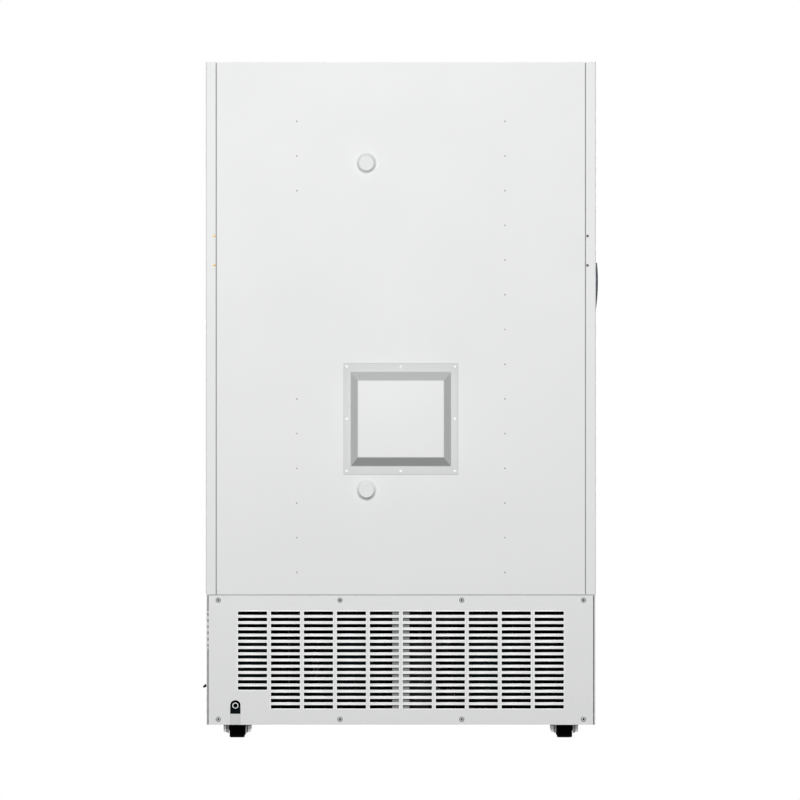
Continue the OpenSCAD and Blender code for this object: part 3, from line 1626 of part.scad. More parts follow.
// Inner sheet of the door with its pressed tray
module door_liner() {
    edge = door_lip + face_fit;
    color("white") difference() {
        union() {
            box(-door_hw + edge, door_hw - edge, door_y1 - skin_t, door_y1,
                door_z0 + edge, door_z1 - edge);
            box(-tray_hw - liner_t, tray_hw + liner_t, door_y1 - tray_d, door_y1,
                tray_z0 - liner_t, tray_z1 + liner_t);
        }
        box(-tray_hw, tray_hw, door_y1 - tray_d + liner_t, door_y1 + eps, tray_z0, tray_z1);
        rod_y(valve_x, valve_z, door_y1 - tray_d - eps, door_y1, tube_r + face_fit);
    }
}

// Ring of the gasket, inset and as wide as w, between y0 and y1
module gasket_ring(inset, w, y0, y1) {
    x = gasket_x - inset;
    z0 = gasket_z0 + inset;
    z1 = gasket_z1 - inset;
    upright(y0, y1) difference() {
        rounded(-x, x, z0, z1, 12);
        flat(-x + w, x - w, z0 + w, z1 - w);
    }
}

// Magnetic gasket with its base, bellows and head
module door_gasket() {
    base_t = 3;
    waist_t = 3.4;
    waist_in = 7;
    head_in = 2;
    color("lightgray") {
        gasket_ring(0, gasket_w, door_y1, door_y1 + base_t);
        gasket_ring(waist_in, gasket_w - 2 * waist_in, door_y1 + base_t,
            door_y1 + base_t + waist_t);
        gasket_ring(head_in, gasket_w - 2 * head_in, door_y1 + base_t + waist_t,
            front_y - gasket_clear);
    }
}

// Housing of the door handle: a bulged block round the door's edge
module handle_housing() {
    r = (pow(bulge_up, 2) + pow(side_reach, 2)) / (2 * side_reach);
    z1 = housing_z0 + housing_h;
    back_t = 3;
    pocket_z = 7;
    pocket_x = keeper_t + 1;
    color("#3b4a5c") {
        difference() {
            upright(housing_y0, housing_y1) intersection() {
                translate([r - half_w - side_reach, housing_z0 + bulge_up]) circle(r, $fn = 360);
                flat(-half_w - side_reach, housing_x1, housing_z0, z1);
            }
            box(-door_hw, housing_x1 + eps, door_y0, housing_y1 + eps,
                housing_z0 - eps, z1 + eps);
            box(-half_w - pocket_x, -door_hw + eps, keeper_y0 - 3, housing_y1 + eps,
                keeper_z0 - pocket_z, keeper_z0 + keeper_h + pocket_z);
            box(-half_w, housing_x1 + eps, housing_y0 - eps, door_y0 - back_t,
                housing_z0 + cap_t, z1 - cap_t);
        }
        translate([pivot_x, pivot_y, housing_z0 + cap_t])
            cylinder(h = housing_h - 2 * cap_t, r = pivot_pin_r);
    }
}

// Lever with its barrel, lobe, arm and grip bar
module door_handle() {
    arm_h = 110;
    mid = housing_z0 + housing_h / 2;
    half = housing_h / 2 - cap_t - face_fit;
    grip_y0 = door_y0 - handle_reach - pivot_y;
    grip_x0 = grip_away - grip_w / 2;
    color("#3b4a5c") translate([pivot_x, pivot_y, mid]) difference() {
        union() {
            translate([0, 0, -half]) linear_extrude(2 * half) {
                circle(lever_r);
                translate(lobe) circle(lobe_r);
                polygon([[0, -lever_r], [0, 4], lobe + [0, lobe_r], lobe - [0, lobe_r]]);
            }
            translate([0, 0, -arm_h / 2]) linear_extrude(arm_h)
                polygon([[0, -lever_r], [grip_x0 + 4, grip_y0 + 2],
                    [grip_x0 + 4, grip_y0 + grip_t - 3], [0, lever_r - 4]]);
            translate([0, 0, -grip_h / 2]) linear_extrude(grip_h)
                rounded(grip_x0, grip_x0 + grip_w, grip_y0, grip_y0 + grip_t, 6);
        }
        translate([0, 0, -half - eps]) cylinder(h = 2 * (half + eps), r = pivot_pin_r + run_fit);
    }
}

// Ring of the lock, and the relief valve's housing with its tube
module door_fittings() {
    cup_floor = 3;
    color("silver") {
        difference() {
            rod_y(-lock_x, lock_z, door_y0 - lock_out, door_y0 + lock_l, lock_ring_r);
            rod_y(-lock_x, lock_z, door_y0 - lock_out - eps, door_y0 + lock_l + eps,
                lock_r + run_fit);
        }
        difference() {
            union() {
                rod_y(valve_x, valve_z, door_y0 - valve_out, door_y0, valve_r);
                rod_y(valve_x, valve_z, door_y0 - eps, door_y1 - tray_d + liner_t, tube_r);
            }
            rod_y(valve_x, valve_z, door_y0 - valve_out - eps, door_y0 - cup_floor,
                knob_r + face_fit);
            rod_y(valve_x, valve_z, door_y0 - valve_out, door_y1, stem_r + run_fit);
        }
    }
}

// Lock barrel with its keyway
module lock_barrel() {
    y0 = door_y0 - lock_out - 2;
    key_w = 2;
    key_h = 8;
    color("silver") difference() {
        rod_y(-lock_x, lock_z, y0, door_y0 + lock_l - 2, lock_r);
        box(-lock_x - key_w / 2, -lock_x + key_w / 2, y0 - eps, y0 + 5,
            lock_z - key_h / 2, lock_z + key_h / 2);
    }
}

// Push knob of the relief valve with its stem
module valve_knob() {
    rear = door_y0 - knob_travel - 4;
    color("dimgray") {
        rod_y(valve_x, valve_z, rear - 19, rear, knob_r);
        translate([valve_x, rear - 22, valve_z]) rotate([-90, 0, 0])
            cylinder(h = 3, r1 = knob_r - 3, r2 = knob_r);
        rod_y(valve_x, valve_z, rear, door_y0 + 30, stem_r);
    }
}

// Control panel: a bezel on the door and its box in the foam
module control_panel() {
    x = panel_w / 2;
    z = panel_h / 2;
    color("#2b2f33") translate([0, 0, panel_z]) difference() {
        union() {
            upright(door_y0 - panel_out, door_y0) rounded(-x, x, -z, z, 8);
            box(-x + panel_rim, x - panel_rim, door_y0, door_y0 + panel_d,
                -z + panel_rim, z - panel_rim);
        }
        box(-screen_w / 2 - face_fit, screen_w / 2 + face_fit, door_y0 - panel_out - eps,
            door_y0 - panel_out + screen_t, -screen_h / 2 - face_fit, screen_h / 2 + face_fit);
    }
}

module touchscreen() {
    color("black") box(-screen_w / 2, screen_w / 2, door_y0 - panel_out - 0.5,
        door_y0 - panel_out + screen_t, panel_z - screen_h / 2, panel_z + screen_h / 2);
}

// Inner door between heights z0 and z1, with its seal, latch and hinge bores
module inner_door(z0, z1) {
    press = 4;
    border = 30;
    seal_w = 10;
    seal_in = inner_pivot;
    bore_l = inner_pin_l + 2;
    latch_out = 10;
    latch_hh = 30;
    mid = (z0 + z1) / 2;
    difference() {
        union() {
            box(-inner_hw, inner_hw, inner_y0, inner_y1, z0, z1);
            upright(inner_y1, rec_y - face_fit) difference() {
                flat(-inner_hw + seal_in, inner_hw - seal_in, z0 + seal_in, z1 - seal_in);
                flat(-inner_hw + seal_in + seal_w, inner_hw - seal_in - seal_w,
                    z0 + seal_in + seal_w, z1 - seal_in - seal_w);
            }
            box(-inner_hw + 4, -inner_hw + border - 4, inner_y0 - latch_out, inner_y0,
                mid - latch_hh, mid + latch_hh);
        }
        box(-inner_hw + border, inner_hw - border, inner_y0 - eps, inner_y0 + press,
            z0 + border, z1 - border);
        for (z = [z0 - eps, z1 - bore_l])
            translate([inner_pin_x, inner_pin_y, z])
                cylinder(h = bore_l + eps, r = inner_pin_r + run_fit);
    }
}

module inner_door_upper() { color("whitesmoke") inner_door(inner_doors[1][0], inner_doors[1][1]); }

module inner_door_lower() { color("whitesmoke") inner_door(inner_doors[0][0], inner_doors[0][1]); }

side_panel_right();
side_panel_left();
top_panel();
back_panel();
cabinet_floor();
insulation();
inner_liner();
breaker_strips();
shelf_rails();
shelves();
heat_exchanger_cover();
rear_screws();
cascade_exchanger();
evaporator_coil();
threaded_inserts();
back_panel_rivets();
port_sleeves();
port_plug_upper();
port_plug_lower();
hinge_brackets();
latch_keeper();
base_frame();
base_deck();
base_side_right();
base_side_left();
rear_grille();
cord_gland();
condenser();
fan_units();
fan_blade_right();
fan_blade_left();
compressor_first_stage();
compressor_second_stage();
refrigerant_lines();
control_box();
power_toggle();
caster_mounts();
front_fork_right();
front_fork_left();
caster_brake_right();
caster_brake_left();
caster_wheel_rear_right();
caster_wheel_rear_left();
caster_wheel_front_right();
caster_wheel_front_left();
front_grille();
air_filter();
door_shell();
door_insulation();
door_liner();
door_gasket();
handle_housing();
door_handle();
door_fittings();
lock_barrel();
valve_knob();
control_panel();
touchscreen();
inner_door_upper();
inner_door_lower();
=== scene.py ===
import json
import logging
import math
from collections.abc import Callable, Iterable, Sequence
from dataclasses import dataclass
from enum import Enum

import bmesh
import bpy
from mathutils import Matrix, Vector


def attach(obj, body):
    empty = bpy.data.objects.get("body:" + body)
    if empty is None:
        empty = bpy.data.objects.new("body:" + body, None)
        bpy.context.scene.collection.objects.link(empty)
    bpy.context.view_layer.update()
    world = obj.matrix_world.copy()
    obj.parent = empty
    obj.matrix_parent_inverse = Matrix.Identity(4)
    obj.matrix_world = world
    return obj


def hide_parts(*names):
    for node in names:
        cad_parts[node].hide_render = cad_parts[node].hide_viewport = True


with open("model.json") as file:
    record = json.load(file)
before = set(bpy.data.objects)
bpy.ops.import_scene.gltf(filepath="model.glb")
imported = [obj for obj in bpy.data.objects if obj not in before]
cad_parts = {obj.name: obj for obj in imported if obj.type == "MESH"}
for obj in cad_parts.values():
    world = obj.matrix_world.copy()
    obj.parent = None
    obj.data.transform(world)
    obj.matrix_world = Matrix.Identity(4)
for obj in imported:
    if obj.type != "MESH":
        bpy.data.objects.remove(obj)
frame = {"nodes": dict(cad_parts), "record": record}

logging.basicConfig(level=logging.INFO, format="%(message)s")
LOG = logging.getLogger("freezer")

Object = bpy.types.Object
Socket = bpy.types.NodeSocket
Tree = bpy.types.NodeTree
Point = tuple[float, float, float]
Color = tuple[float, float, float]
Pair = tuple[float, float]
Profile = Sequence[Pair]

MM = 0.001
QUARTER = math.pi / 2
REARWARD: Point = (0, 1, 0)
FRONTWARD: Point = (0, -1, 0)
UPWARD: Point = (0, 0, 1)
WHITE: Color = (1.0, 1.0, 1.0)

REAR_Y = 0.4575
TOP_Z = 1.98
CABINET_LOW = 0.4195
BASE_TOP = 0.4165
BASE_LOW = 0.038
WELD = 2e-6
COVER_Z = 0.934
COVER_SHEET = 0.0015


# Modelling


def deselect() -> None:
    """Leaves edit mode and deselects every object."""
    active = bpy.context.view_layer.objects.active
    if active is not None and active.mode != "OBJECT":
        bpy.ops.object.mode_set(mode="OBJECT")
    bpy.ops.object.select_all(action="DESELECT")


def take(obj: Object, *others: Object) -> None:
    """Selects some objects alone and makes the first one active.

    Args:
        obj: The object that becomes active.
        others: Further objects to select with it.
    """
    deselect()
    for each in (obj, *others):
        each.select_set(True)
    bpy.context.view_layer.objects.active = obj


def enter(obj: Object, mode: str = "FACE", action: str = "DESELECT") -> None:
    """Opens an object in edit mode.

    Args:
        obj: The mesh object to edit.
        mode: The kind of element to select, VERT, EDGE or FACE.
        action: DESELECT to start with nothing selected, SELECT with all.
    """
    take(obj)
    bpy.ops.object.mode_set(mode="EDIT")
    bpy.ops.mesh.select_mode(type=mode)
    bpy.ops.mesh.select_all(action=action)


def leave() -> None:
    """Goes back to object mode."""
    bpy.ops.object.mode_set(mode="OBJECT")


def pick_all() -> None:
    """Selects the whole mesh in edit mode."""
    bpy.ops.mesh.select_all(action="SELECT")


def pick(obj: Object, mode: str, test: Callable[..., bool]) -> int:
    """Selects the elements that pass a test, in edit mode.

    Args:
        obj: The object in edit mode.
        mode: The kind of element, VERT, EDGE or FACE.
        test: Takes a vertex's place, an edge's two ends, or a face's centre and normal.

    Returns:
        The number of elements picked.
    """
    bpy.ops.mesh.select_mode(type=mode)
    bpy.ops.mesh.select_all(action="DESELECT")
    mesh = bmesh.from_edit_mesh(obj.data)
    elements, facts = {
        "VERT": (mesh.verts, lambda vert: (vert.co,)),
        "EDGE": (mesh.edges, lambda edge: [vert.co for vert in edge.verts]),
        "FACE": (mesh.faces, lambda face: (face.calc_center_median(), face.normal)),
    }[mode]
    count = 0
    for element in elements:
        wanted = test(*facts(element))
        element.select_set(wanted)
        count += wanted
    bmesh.update_edit_mesh(obj.data)
    return count


def named(name: str, scale: Sequence[float] = (1.0, 1.0, 1.0)) -> Object:
    """Names the new object and puts its place, turn and size into its mesh.

    Args:
        name: The object's name.
        scale: Its scale along each axis.

    Returns:
        The object.
    """
    obj = bpy.context.object
    obj.name = name
    obj.scale = scale
    take(obj)
    bpy.ops.object.transform_apply(location=True, rotation=True, scale=True)
    return obj


def block(name: str, low: Point, high: Point) -> Object:
    """Adds a block between two corners, to be shaped further.

    Args:
        name: The object's name.
        low: The lowest corner, in metres.
        high: The highest corner, in metres.

    Returns:
        The block.
    """
    deselect()
    bpy.ops.mesh.primitive_cube_add(size=1.0, location=[(a + b) / 2 for a, b in zip(low, high)])
    return named(name, [b - a for a, b in zip(low, high)])


def sheet(name: str, centre: Point, tilt: float, size: Pair) -> Object:
    """Adds an upright sheet, to be shaped further.

    Args:
        name: The object's name.
        centre: Its middle, in metres.
        tilt: Its turn about X in radians.
        size: Its width and height in metres.

    Returns:
        The sheet.
    """
    deselect()
    bpy.ops.mesh.primitive_plane_add(size=1.0, location=centre, rotation=(tilt, 0.0, 0.0))
    return named(name, (*size, 1.0))


def turned(
    name: str, profile: Profile, centre: Point, axis: Point, steps: int, smooth: float = 35.0
) -> Object:
    """Spins a profile about an axis, as on a lathe.

    Args:
        name: The object's name.
        profile: Points as radius and height in millimetres, in order.
        centre: The point on the axis where heights start, in metres.
        axis: The direction of the heights.
        steps: The number of steps in a full turn.
        smooth: The angle in degrees up to which it is shaded smooth.

    Returns:
        The closed, merged shape with its normals outwards.
    """
    along = Vector(axis).normalized()
    guide = Vector((1, 0, 0)) if abs(along.x) < 0.9 else Vector((0, 0, 1))
    out = (guide - along * guide.dot(along)).normalized()
    points = [Vector(centre) + out * r * MM + along * h * MM for r, h in profile]
    deselect()
    bpy.ops.mesh.primitive_plane_add(size=MM, location=points[0])
    obj = named(name)
    enter(obj, "VERT", "SELECT")
    bpy.ops.mesh.merge(type="CENTER")
    for before, after in zip(points, points[1:]):
        bpy.ops.mesh.extrude_vertices_move(TRANSFORM_OT_translate={"value": tuple(after - before)})
    pick_all()
    bpy.ops.mesh.spin(
        steps=steps, angle=math.tau, center=centre, axis=tuple(along), use_auto_merge=False
    )
    pick_all()
    bpy.ops.mesh.remove_doubles(threshold=WELD)
    pick_all()
    bpy.ops.mesh.normals_make_consistent(inside=False)
    leave()
    shade(obj, smooth)
    return obj


def modify(obj: Object, kind: str, **settings: object) -> None:
    """Adds a modifier with its settings and applies it.

    Args:
        obj: The object to change.
        kind: The modifier's type, such as BEVEL.
        settings: The modifier's values by name.
    """
    take(obj)
    modifier = obj.modifiers.new(kind.lower(), kind)
    for key, value in settings.items():
        setattr(modifier, key, value)
    bpy.ops.object.modifier_apply(modifier=modifier.name)


def shade(obj: Object, angle: float = 35.0) -> None:
    """Shades an object smooth up to an angle in degrees."""
    take(obj)
    bpy.ops.object.shade_smooth_by_angle(angle=math.radians(angle))


def soften(obj: Object, width: float, segments: int = 2) -> None:
    """Rounds an object's sharp edges and shades it smooth between them.

    Args:
        obj: The object to round.
        width: The rounding's width in metres.
        segments: The number of segments across it.
    """
    modify(
        obj, "BEVEL", width=width, segments=segments, limit_method="ANGLE",
        angle_limit=math.radians(35.0), use_clamp_overlap=True, harden_normals=False,
    )
    shade(obj)


def spread(obj: Object, count: int, step: Point) -> None:
    """Repeats an object in a row by an applied array.

    Args:
        obj: The object to repeat.
        count: The number in the row.
        step: The shift from one to the next, in metres.
    """
    modify(
        obj, "ARRAY", count=count, use_relative_offset=False, use_constant_offset=True,
        constant_offset_displace=step,
    )


def copy_at(obj: Object, name: str, shift: Point) -> Object:
    """Copies an object with its own mesh and moves the copy.

    Args:
        obj: The object to copy, which stands at the origin.
        name: The copy's name.
        shift: The move in metres.

    Returns:
        The copy.
    """
    take(obj)
    bpy.ops.object.duplicate(linked=False)
    bpy.context.object.location = shift
    return named(name)


def repeat(first: Object, shifts: Iterable[Point]) -> list[Object]:
    """Gives an object together with its copies, one for each shift."""
    return [first] + [copy_at(first, "copy", shift) for shift in shifts]


def turn(obj: Object, degrees: float, centre: Point) -> None:
    """Turns an object's mesh about the line along Y through a point.

    Args:
        obj: The object to turn.
        degrees: The angle, positive by the right hand rule.
        centre: The point in metres.
    """
    enter(obj, action="SELECT")
    bpy.ops.transform.rotate(
        value=-math.radians(degrees), orient_axis="Y", center_override=centre
    )
    leave()


def merged_copy(node: str, name: str) -> Object:
    """Copies a CAD node's mesh, merged and with its flat faces made whole.

    Args:
        node: The CAD node's name.
        name: The copy's name.

    Returns:
        The copy, free of the node's body and custom normals.
    """
    take(frame["nodes"][node])
    bpy.ops.object.duplicate(linked=False)
    obj = bpy.context.object
    obj.parent = None
    for key in list(obj.keys()):
        del obj[key]
    obj.name = name
    take(obj)
    if obj.data.has_custom_normals:
        bpy.ops.mesh.customdata_custom_splitnormals_clear()
    enter(obj, action="SELECT")
    bpy.ops.mesh.remove_doubles(threshold=1e-5)
    pick_all()
    bpy.ops.mesh.dissolve_limited(angle_limit=math.radians(0.6))
    leave()
    return obj


# Node groups


class Wiring:
    """Lays out shader nodes in a tree."""

    def __init__(self, tree: Tree) -> None:
        """Starts on an empty tree."""
        self.tree = tree
        tree.nodes.clear()

    def add(self, kind: str, **settings: object) -> bpy.types.Node:
        """Adds a node.

        Args:
            kind: The node's type.
            settings: Its properties by name.

        Returns:
            The node.
        """
        node = self.tree.nodes.new(kind)
        for key, value in settings.items():
            setattr(node, key, value)
        return node

    def feed(self, socket: Socket, value: object) -> None:
        """Links an input to another node's output, or sets its value.

        Args:
            socket: The input.
            value: An output, a number, a vector or a colour.
        """
        if isinstance(value, Socket):
            self.tree.links.new(value, socket)
        elif isinstance(value, tuple) and socket.type == "RGBA":
            socket.default_value = (*value, 1.0)
        else:
            socket.default_value = value

    def fill(self, node: bpy.types.Node, values: dict[str, object]) -> None:
        """Feeds a node's inputs; a name that the node lacks is passed over.

        Args:
            node: The node.
            values: What goes into each input, by its name.
        """
        for key, value in values.items():
            if key in node.inputs:
                self.feed(node.inputs[key], value)

    def math(self, operation: str, a: object, b: object = 0.0) -> Socket:
        """Works out a sum.

        Args:
            operation: The math node's operation.
            a: The first number or output.
            b: The second number or output.

        Returns:
            The result.
        """
        node = self.add("ShaderNodeMath", operation=operation)
        for socket, value in zip(node.inputs, (a, b)):
            self.feed(socket, value)
        return node.outputs[0]

    def times(self, a: object, b: object) -> Socket:
        """Multiplies two values."""
        return self.math("MULTIPLY", a, b)

    def plus(self, a: object, b: object) -> Socket:
        """Adds two values."""
        return self.math("ADD", a, b)

    def minus(self, a: object, b: object) -> Socket:
        """Takes the second value from the first."""
        return self.math("SUBTRACT", a, b)

    def above_zero(self, value: Socket) -> Socket:
        """Keeps a value from falling below 0."""
        return self.math("MAXIMUM", value, 0.0)

    def share(self, value: Socket) -> Socket:
        """Keeps a value between 0 and 1."""
        return self.math("MINIMUM", self.above_zero(value), 1.0)

    def noise(self, vector: Socket, scale: object, detail: float, roughness: float = 0.5) -> Socket:
        """Adds a noise texture.

        Args:
            vector: The coordinates.
            scale: A number or an output.
            detail: The number of octaves.
            roughness: How strong the finer octaves are.

        Returns:
            The factor.
        """
        node = self.add("ShaderNodeTexNoise")
        self.fill(node, {"Vector": vector, "Scale": scale})
        self.fill(node, {"Detail": detail, "Roughness": roughness})
        return node.outputs["Fac"]

    def blend(self, kind: str, factor: Socket, a: object, b: object) -> Socket:
        """Mixes two colours.

        Args:
            kind: The blend type.
            factor: The second colour's share.
            a: The first colour or output.
            b: The second colour or output.

        Returns:
            The mixed colour.
        """
        node = self.add("ShaderNodeMix", data_type="RGBA", blend_type=kind, clamp_factor=True)
        for index, value in ((0, factor), (6, a), (7, b)):
            self.feed(node.inputs[index], value)
        return node.outputs[2]

    def mix_shaders(
        self, factor: Socket, a: bpy.types.Node, b: bpy.types.Node, output: str
    ) -> None:
        """Mixes two shaders into the tree's output.

        Args:
            factor: The second shader's share.
            a: The first shader.
            b: The second shader.
            output: The type of the output node.
        """
        mix = self.add("ShaderNodeMixShader")
        for socket, value in zip(mix.inputs, (factor, a.outputs[0], b.outputs[0])):
            self.feed(socket, value)
        self.feed(self.add(output).inputs[0], mix.outputs[0])


class Group(Wiring):
    """A shader node group with named inputs and outputs, on Object coordinates."""

    def __init__(self, name: str, inputs: str, outputs: str) -> None:
        """Makes the group and its sockets.

        Args:
            name: The group's name.
            inputs: The inputs' names, in which Color and Stretch tell the type.
            outputs: The outputs' names.
        """
        tree = bpy.data.node_groups.new(name, "ShaderNodeTree")
        for way, names in (("INPUT", inputs), ("OUTPUT", outputs)):
            for key in names.split(", "):
                kind = {"Color": "Color", "Stretch": "Vector"}.get(key.split()[-1], "Float")
                tree.interface.new_socket(name=key, in_out=way, socket_type="NodeSocket" + kind)
        super().__init__(tree)
        self.inside = self.add("NodeGroupInput").outputs
        self.outside = self.add("NodeGroupOutput").inputs
        self.place = self.add("ShaderNodeTexCoord").outputs["Object"]

    def __getitem__(self, name: str) -> Socket:
        """Brings one of the group's inputs."""
        return self.inside[name]

    def axis(self, letter: str) -> Socket:
        """Splits off one of the three coordinates.

        Args:
            letter: X, Y or Z.

        Returns:
            The coordinate.
        """
        split = self.add("ShaderNodeSeparateXYZ")
        self.feed(split.inputs[0], self.place)
        return split.outputs[letter]

    def give(self, **values: Socket) -> Tree:
        """Feeds the group's outputs.

        Args:
            values: What each output gives, by its name.

        Returns:
            The finished group.
        """
        for key, value in values.items():
            self.feed(self.outside[key], value)
        return self.tree


class Effect(Enum):
    """The shared surface effects, by the names of their node groups."""

    GRAIN = "surface_grain"
    DUST = "floor_dust"
    BRUSH = "drawn_lines"
    WEAR = "rubbed_marks"
    # painted shade on the flange and slopes of a raised pressing
    FOOT = "painted_shade_on_pressing"


Layer = tuple[Effect, dict[str, object]]


class Effects:
    """Holds the node group of each effect, built once."""

    cloud_tone: Color = (0.72, 0.73, 0.74)
    line_tone: Color = (0.45, 0.46, 0.48)
    dust_roughness: float = 0.35
    mark_start: float = 0.62
    mark_edge: float = 9.0
    slope_edge: float = 24.0
    mitre_edge: float = 600.0

    def __init__(self) -> None:
        """Builds the groups."""
        self.trees = {
            Effect.GRAIN: self._grain(), Effect.DUST: self._dust(),
            Effect.BRUSH: self._brush(), Effect.WEAR: self._wear(),
            Effect.FOOT: self._shade_the_pressing(),
        }

    def _grain(self) -> Tree:
        """Clouding, roughness that varies, and a fine skin such as orange peel.

        Returns:
            The group.
        """
        group = Group(
            Effect.GRAIN.value, "Color, Shade, Cloud Scale, Grain Scale, Roughness, Spread",
            "Color, Roughness, Height",
        )
        cloud = group.noise(group.place, group["Cloud Scale"], 3.0, 0.55)
        amount = group.times(cloud, group["Shade"])
        swing = group.times(group.minus(cloud, 0.5), group["Spread"])
        return group.give(
            Color=group.blend("MULTIPLY", amount, group["Color"], self.cloud_tone),
            Roughness=group.plus(swing, group["Roughness"]),
            Height=group.noise(group.place, group["Grain Scale"], 2.0, 0.6),
        )

    def _dust(self) -> Tree:
        """Dust that gathers near the floor and thins out upwards.

        Returns:
            The group.
        """
        group = Group(
            Effect.DUST.value, "Color, Dust Color, Reach, Amount, Roughness", "Color, Roughness"
        )
        height = group.math("DIVIDE", group.axis("Z"), group["Reach"])
        low = group.above_zero(group.minus(1.0, height))
        patch = group.noise(group.place, 14.0, 5.0, 0.65)
        mask = group.times(group.times(low, patch), group["Amount"])
        return group.give(
            Color=group.blend("MIX", mask, group["Color"], group["Dust Color"]),
            Roughness=group.plus(group["Roughness"], group.times(mask, self.dust_roughness)),
        )

    def _brush(self) -> Tree:
        """Fine parallel lines, as on brushed or drawn metal.

        Returns:
            The group.
        """
        group = Group(
            Effect.BRUSH.value, "Color, Stretch, Shade, Roughness, Spread",
            "Color, Roughness, Height",
        )
        scaled = group.add("ShaderNodeVectorMath", operation="MULTIPLY")
        group.feed(scaled.inputs[0], group.place)
        group.feed(scaled.inputs[1], group["Stretch"])
        lines = group.noise(scaled.outputs[0], 1.0, 4.0, 0.7)
        both = group.times(lines, group.plus(group.noise(group.place, 9.0, 3.0), 0.5))
        amount = group.times(both, group["Shade"])
        swing = group.times(group.minus(both, 0.5), group["Spread"])
        return group.give(
            Color=group.blend("MULTIPLY", amount, group["Color"], self.line_tone),
            Roughness=group.plus(swing, group["Roughness"]),
            Height=lines,
        )

    def _wear(self) -> Tree:
        """Small marks and rubbed specks where a surface is handled.

        Returns:
            The group.
        """
        group = Group(Effect.WEAR.value, "Color, Mark Color, Mark Scale, Amount", "Color")
        speck = group.noise(group.place, group["Mark Scale"], 6.0, 0.75)
        sharp = group.share(group.times(group.minus(speck, self.mark_start), self.mark_edge))
        mask = group.times(sharp, group["Amount"])
        return group.give(Color=group.blend("MIX", mask, group["Color"], group["Mark Color"]))

    def _shade_the_pressing(self) -> Tree:
        """Painted shade on the flange and slopes of a raised pressing, more of it on the under
        slope.

        Returns:
            The group.
        """
        group = Group(
            Effect.FOOT.value,
            "Color, Grime Color, Foot, Height, Amount, Slope Amount, Under Z, Under X, Mitre, "
            "Under Amount",
            "Color",
        )
        risen = group.math("DIVIDE", group.minus(group.axis("Y"), group["Foot"]), group["Height"])
        risen = group.share(risen)
        rest = group.minus(1.0, risen)
        slope = group.times(group.times(risen, rest), self.slope_edge)
        slope = group.math("MINIMUM", slope, 1.0)
        wide = group.minus(group.math("ABSOLUTE", group.axis("X")), group["Under X"])
        mitre = group.times(group.above_zero(wide), group["Mitre"])
        below = group.minus(group.minus(group["Under Z"], group.axis("Z")), mitre)
        below = group.share(group.times(below, self.mitre_edge))
        strength = group.plus(group["Slope Amount"], group.times(below, group["Under Amount"]))
        # painted shade: the foot share fades up from the flange, the slope share is stronger on the
        # under slope
        mask = group.math(
            "MAXIMUM", group.times(rest, group["Amount"]), group.times(slope, strength)
        )
        return group.give(
            Color=group.blend("MULTIPLY", mask, group["Color"], group["Grime Color"])
        )


# Finishes


class Look(Enum):
    """The looks that a piece can have; several may share one of the record's slots."""

    WHITE_ENAMEL = "white_enamel"
    GREY_ENAMEL = "grey_enamel"
    DARK_ENAMEL = "dark_enamel"
    ZINC = "zinc_steel"
    STAINLESS = "stainless"
    FOAM = "foam"
    WHITE_PLASTIC = "white_plastic"
    GREY_PLASTIC = "grey_plastic"
    SLATE_PLASTIC = "slate_plastic"
    BLACK_PLASTIC = "black_plastic"
    GASKET = "gasket_rubber"
    WHEEL = "wheel_rubber"
    COPPER = "copper"
    BRASS = "brass"
    ALUMINIUM = "aluminium"
    FILTER = "filter_mat"
    SCREEN = "screen_glass"
    LIT_VENT_LIP = "vent_lip"
    SEALANT_AND_SHADE = "sealant"
    SHADOW_TRIM = "shadow_trim"
    AGED_ZINC = "aged_zinc"
    SHADED_WASHER = "washer_painted_shade"
    TUBE_SLEEVE = "tube_sleeve"
    MATT_BLACK = "matt_black"
    PRESSED_COVER = "pressed_cover"
    FLOOR_GREY = "floor_grey"
    LIT_NYLON = "nylon"
    GLINT_HEAD = "head_painted_glint"
    SATIN_ZINC = "satin_zinc"
    SOOT_BLACK = "soot_black"


@dataclass(frozen=True)
class Finish:
    """A finish with the values that all finishes share."""

    color: Color
    roughness: float = 0.4
    metallic: float = 0.0
    bump: float = 0.02
    bump_depth: float = 0.0002
    slot: str = ""

    def build(self, name: str, effects: Effects) -> bpy.types.Material:
        """Makes the material, each layer fed by the one before it.

        Args:
            name: The material's name.
            effects: The shared node groups.

        Returns:
            The finished material.
        """
        material = bpy.data.materials.new(name)
        material.use_nodes = True
        wiring = Wiring(material.node_tree)
        values = {"Color": self.color, "Roughness": self.roughness}
        for effect, settings in self.layers():
            group = wiring.add("ShaderNodeGroup", node_tree=effects.trees[effect])
            wiring.fill(group, values | settings)
            values.update({output.name: output for output in group.outputs})
        relief = wiring.add("ShaderNodeBump")
        height = {"Height": values["Height"]}
        wiring.fill(relief, {"Strength": self.bump, "Distance": self.bump_depth} | height)
        shader = wiring.add("ShaderNodeBsdfPrincipled")
        wiring.fill(shader, {"Base Color": values["Color"], "Roughness": values["Roughness"]})
        wiring.fill(shader, {"Normal": relief.outputs[0], "Metallic": self.metallic})
        wiring.fill(shader, self.gloss())
        wiring.feed(wiring.add("ShaderNodeOutputMaterial").inputs[0], shader.outputs[0])
        return material

    def layers(self) -> list[Layer]:
        """What varies over the surface: the shared groups in order, each with its own values."""
        raise NotImplementedError

    def gloss(self) -> dict[str, float]:
        """What is the same all over, by the shader's own sockets."""
        return {}


@dataclass(frozen=True)
class Grained(Finish):
    """A finish with a fine grain all over it."""

    shade: float = 0.05
    cloud: float = 3.0
    grain: float = 420.0
    spread: float = 0.08

    def layers(self) -> list[Layer]:
        """The grain alone."""
        scales = {"Cloud Scale": self.cloud, "Grain Scale": self.grain}
        return [(Effect.GRAIN, {"Shade": self.shade, "Spread": self.spread} | scales)]


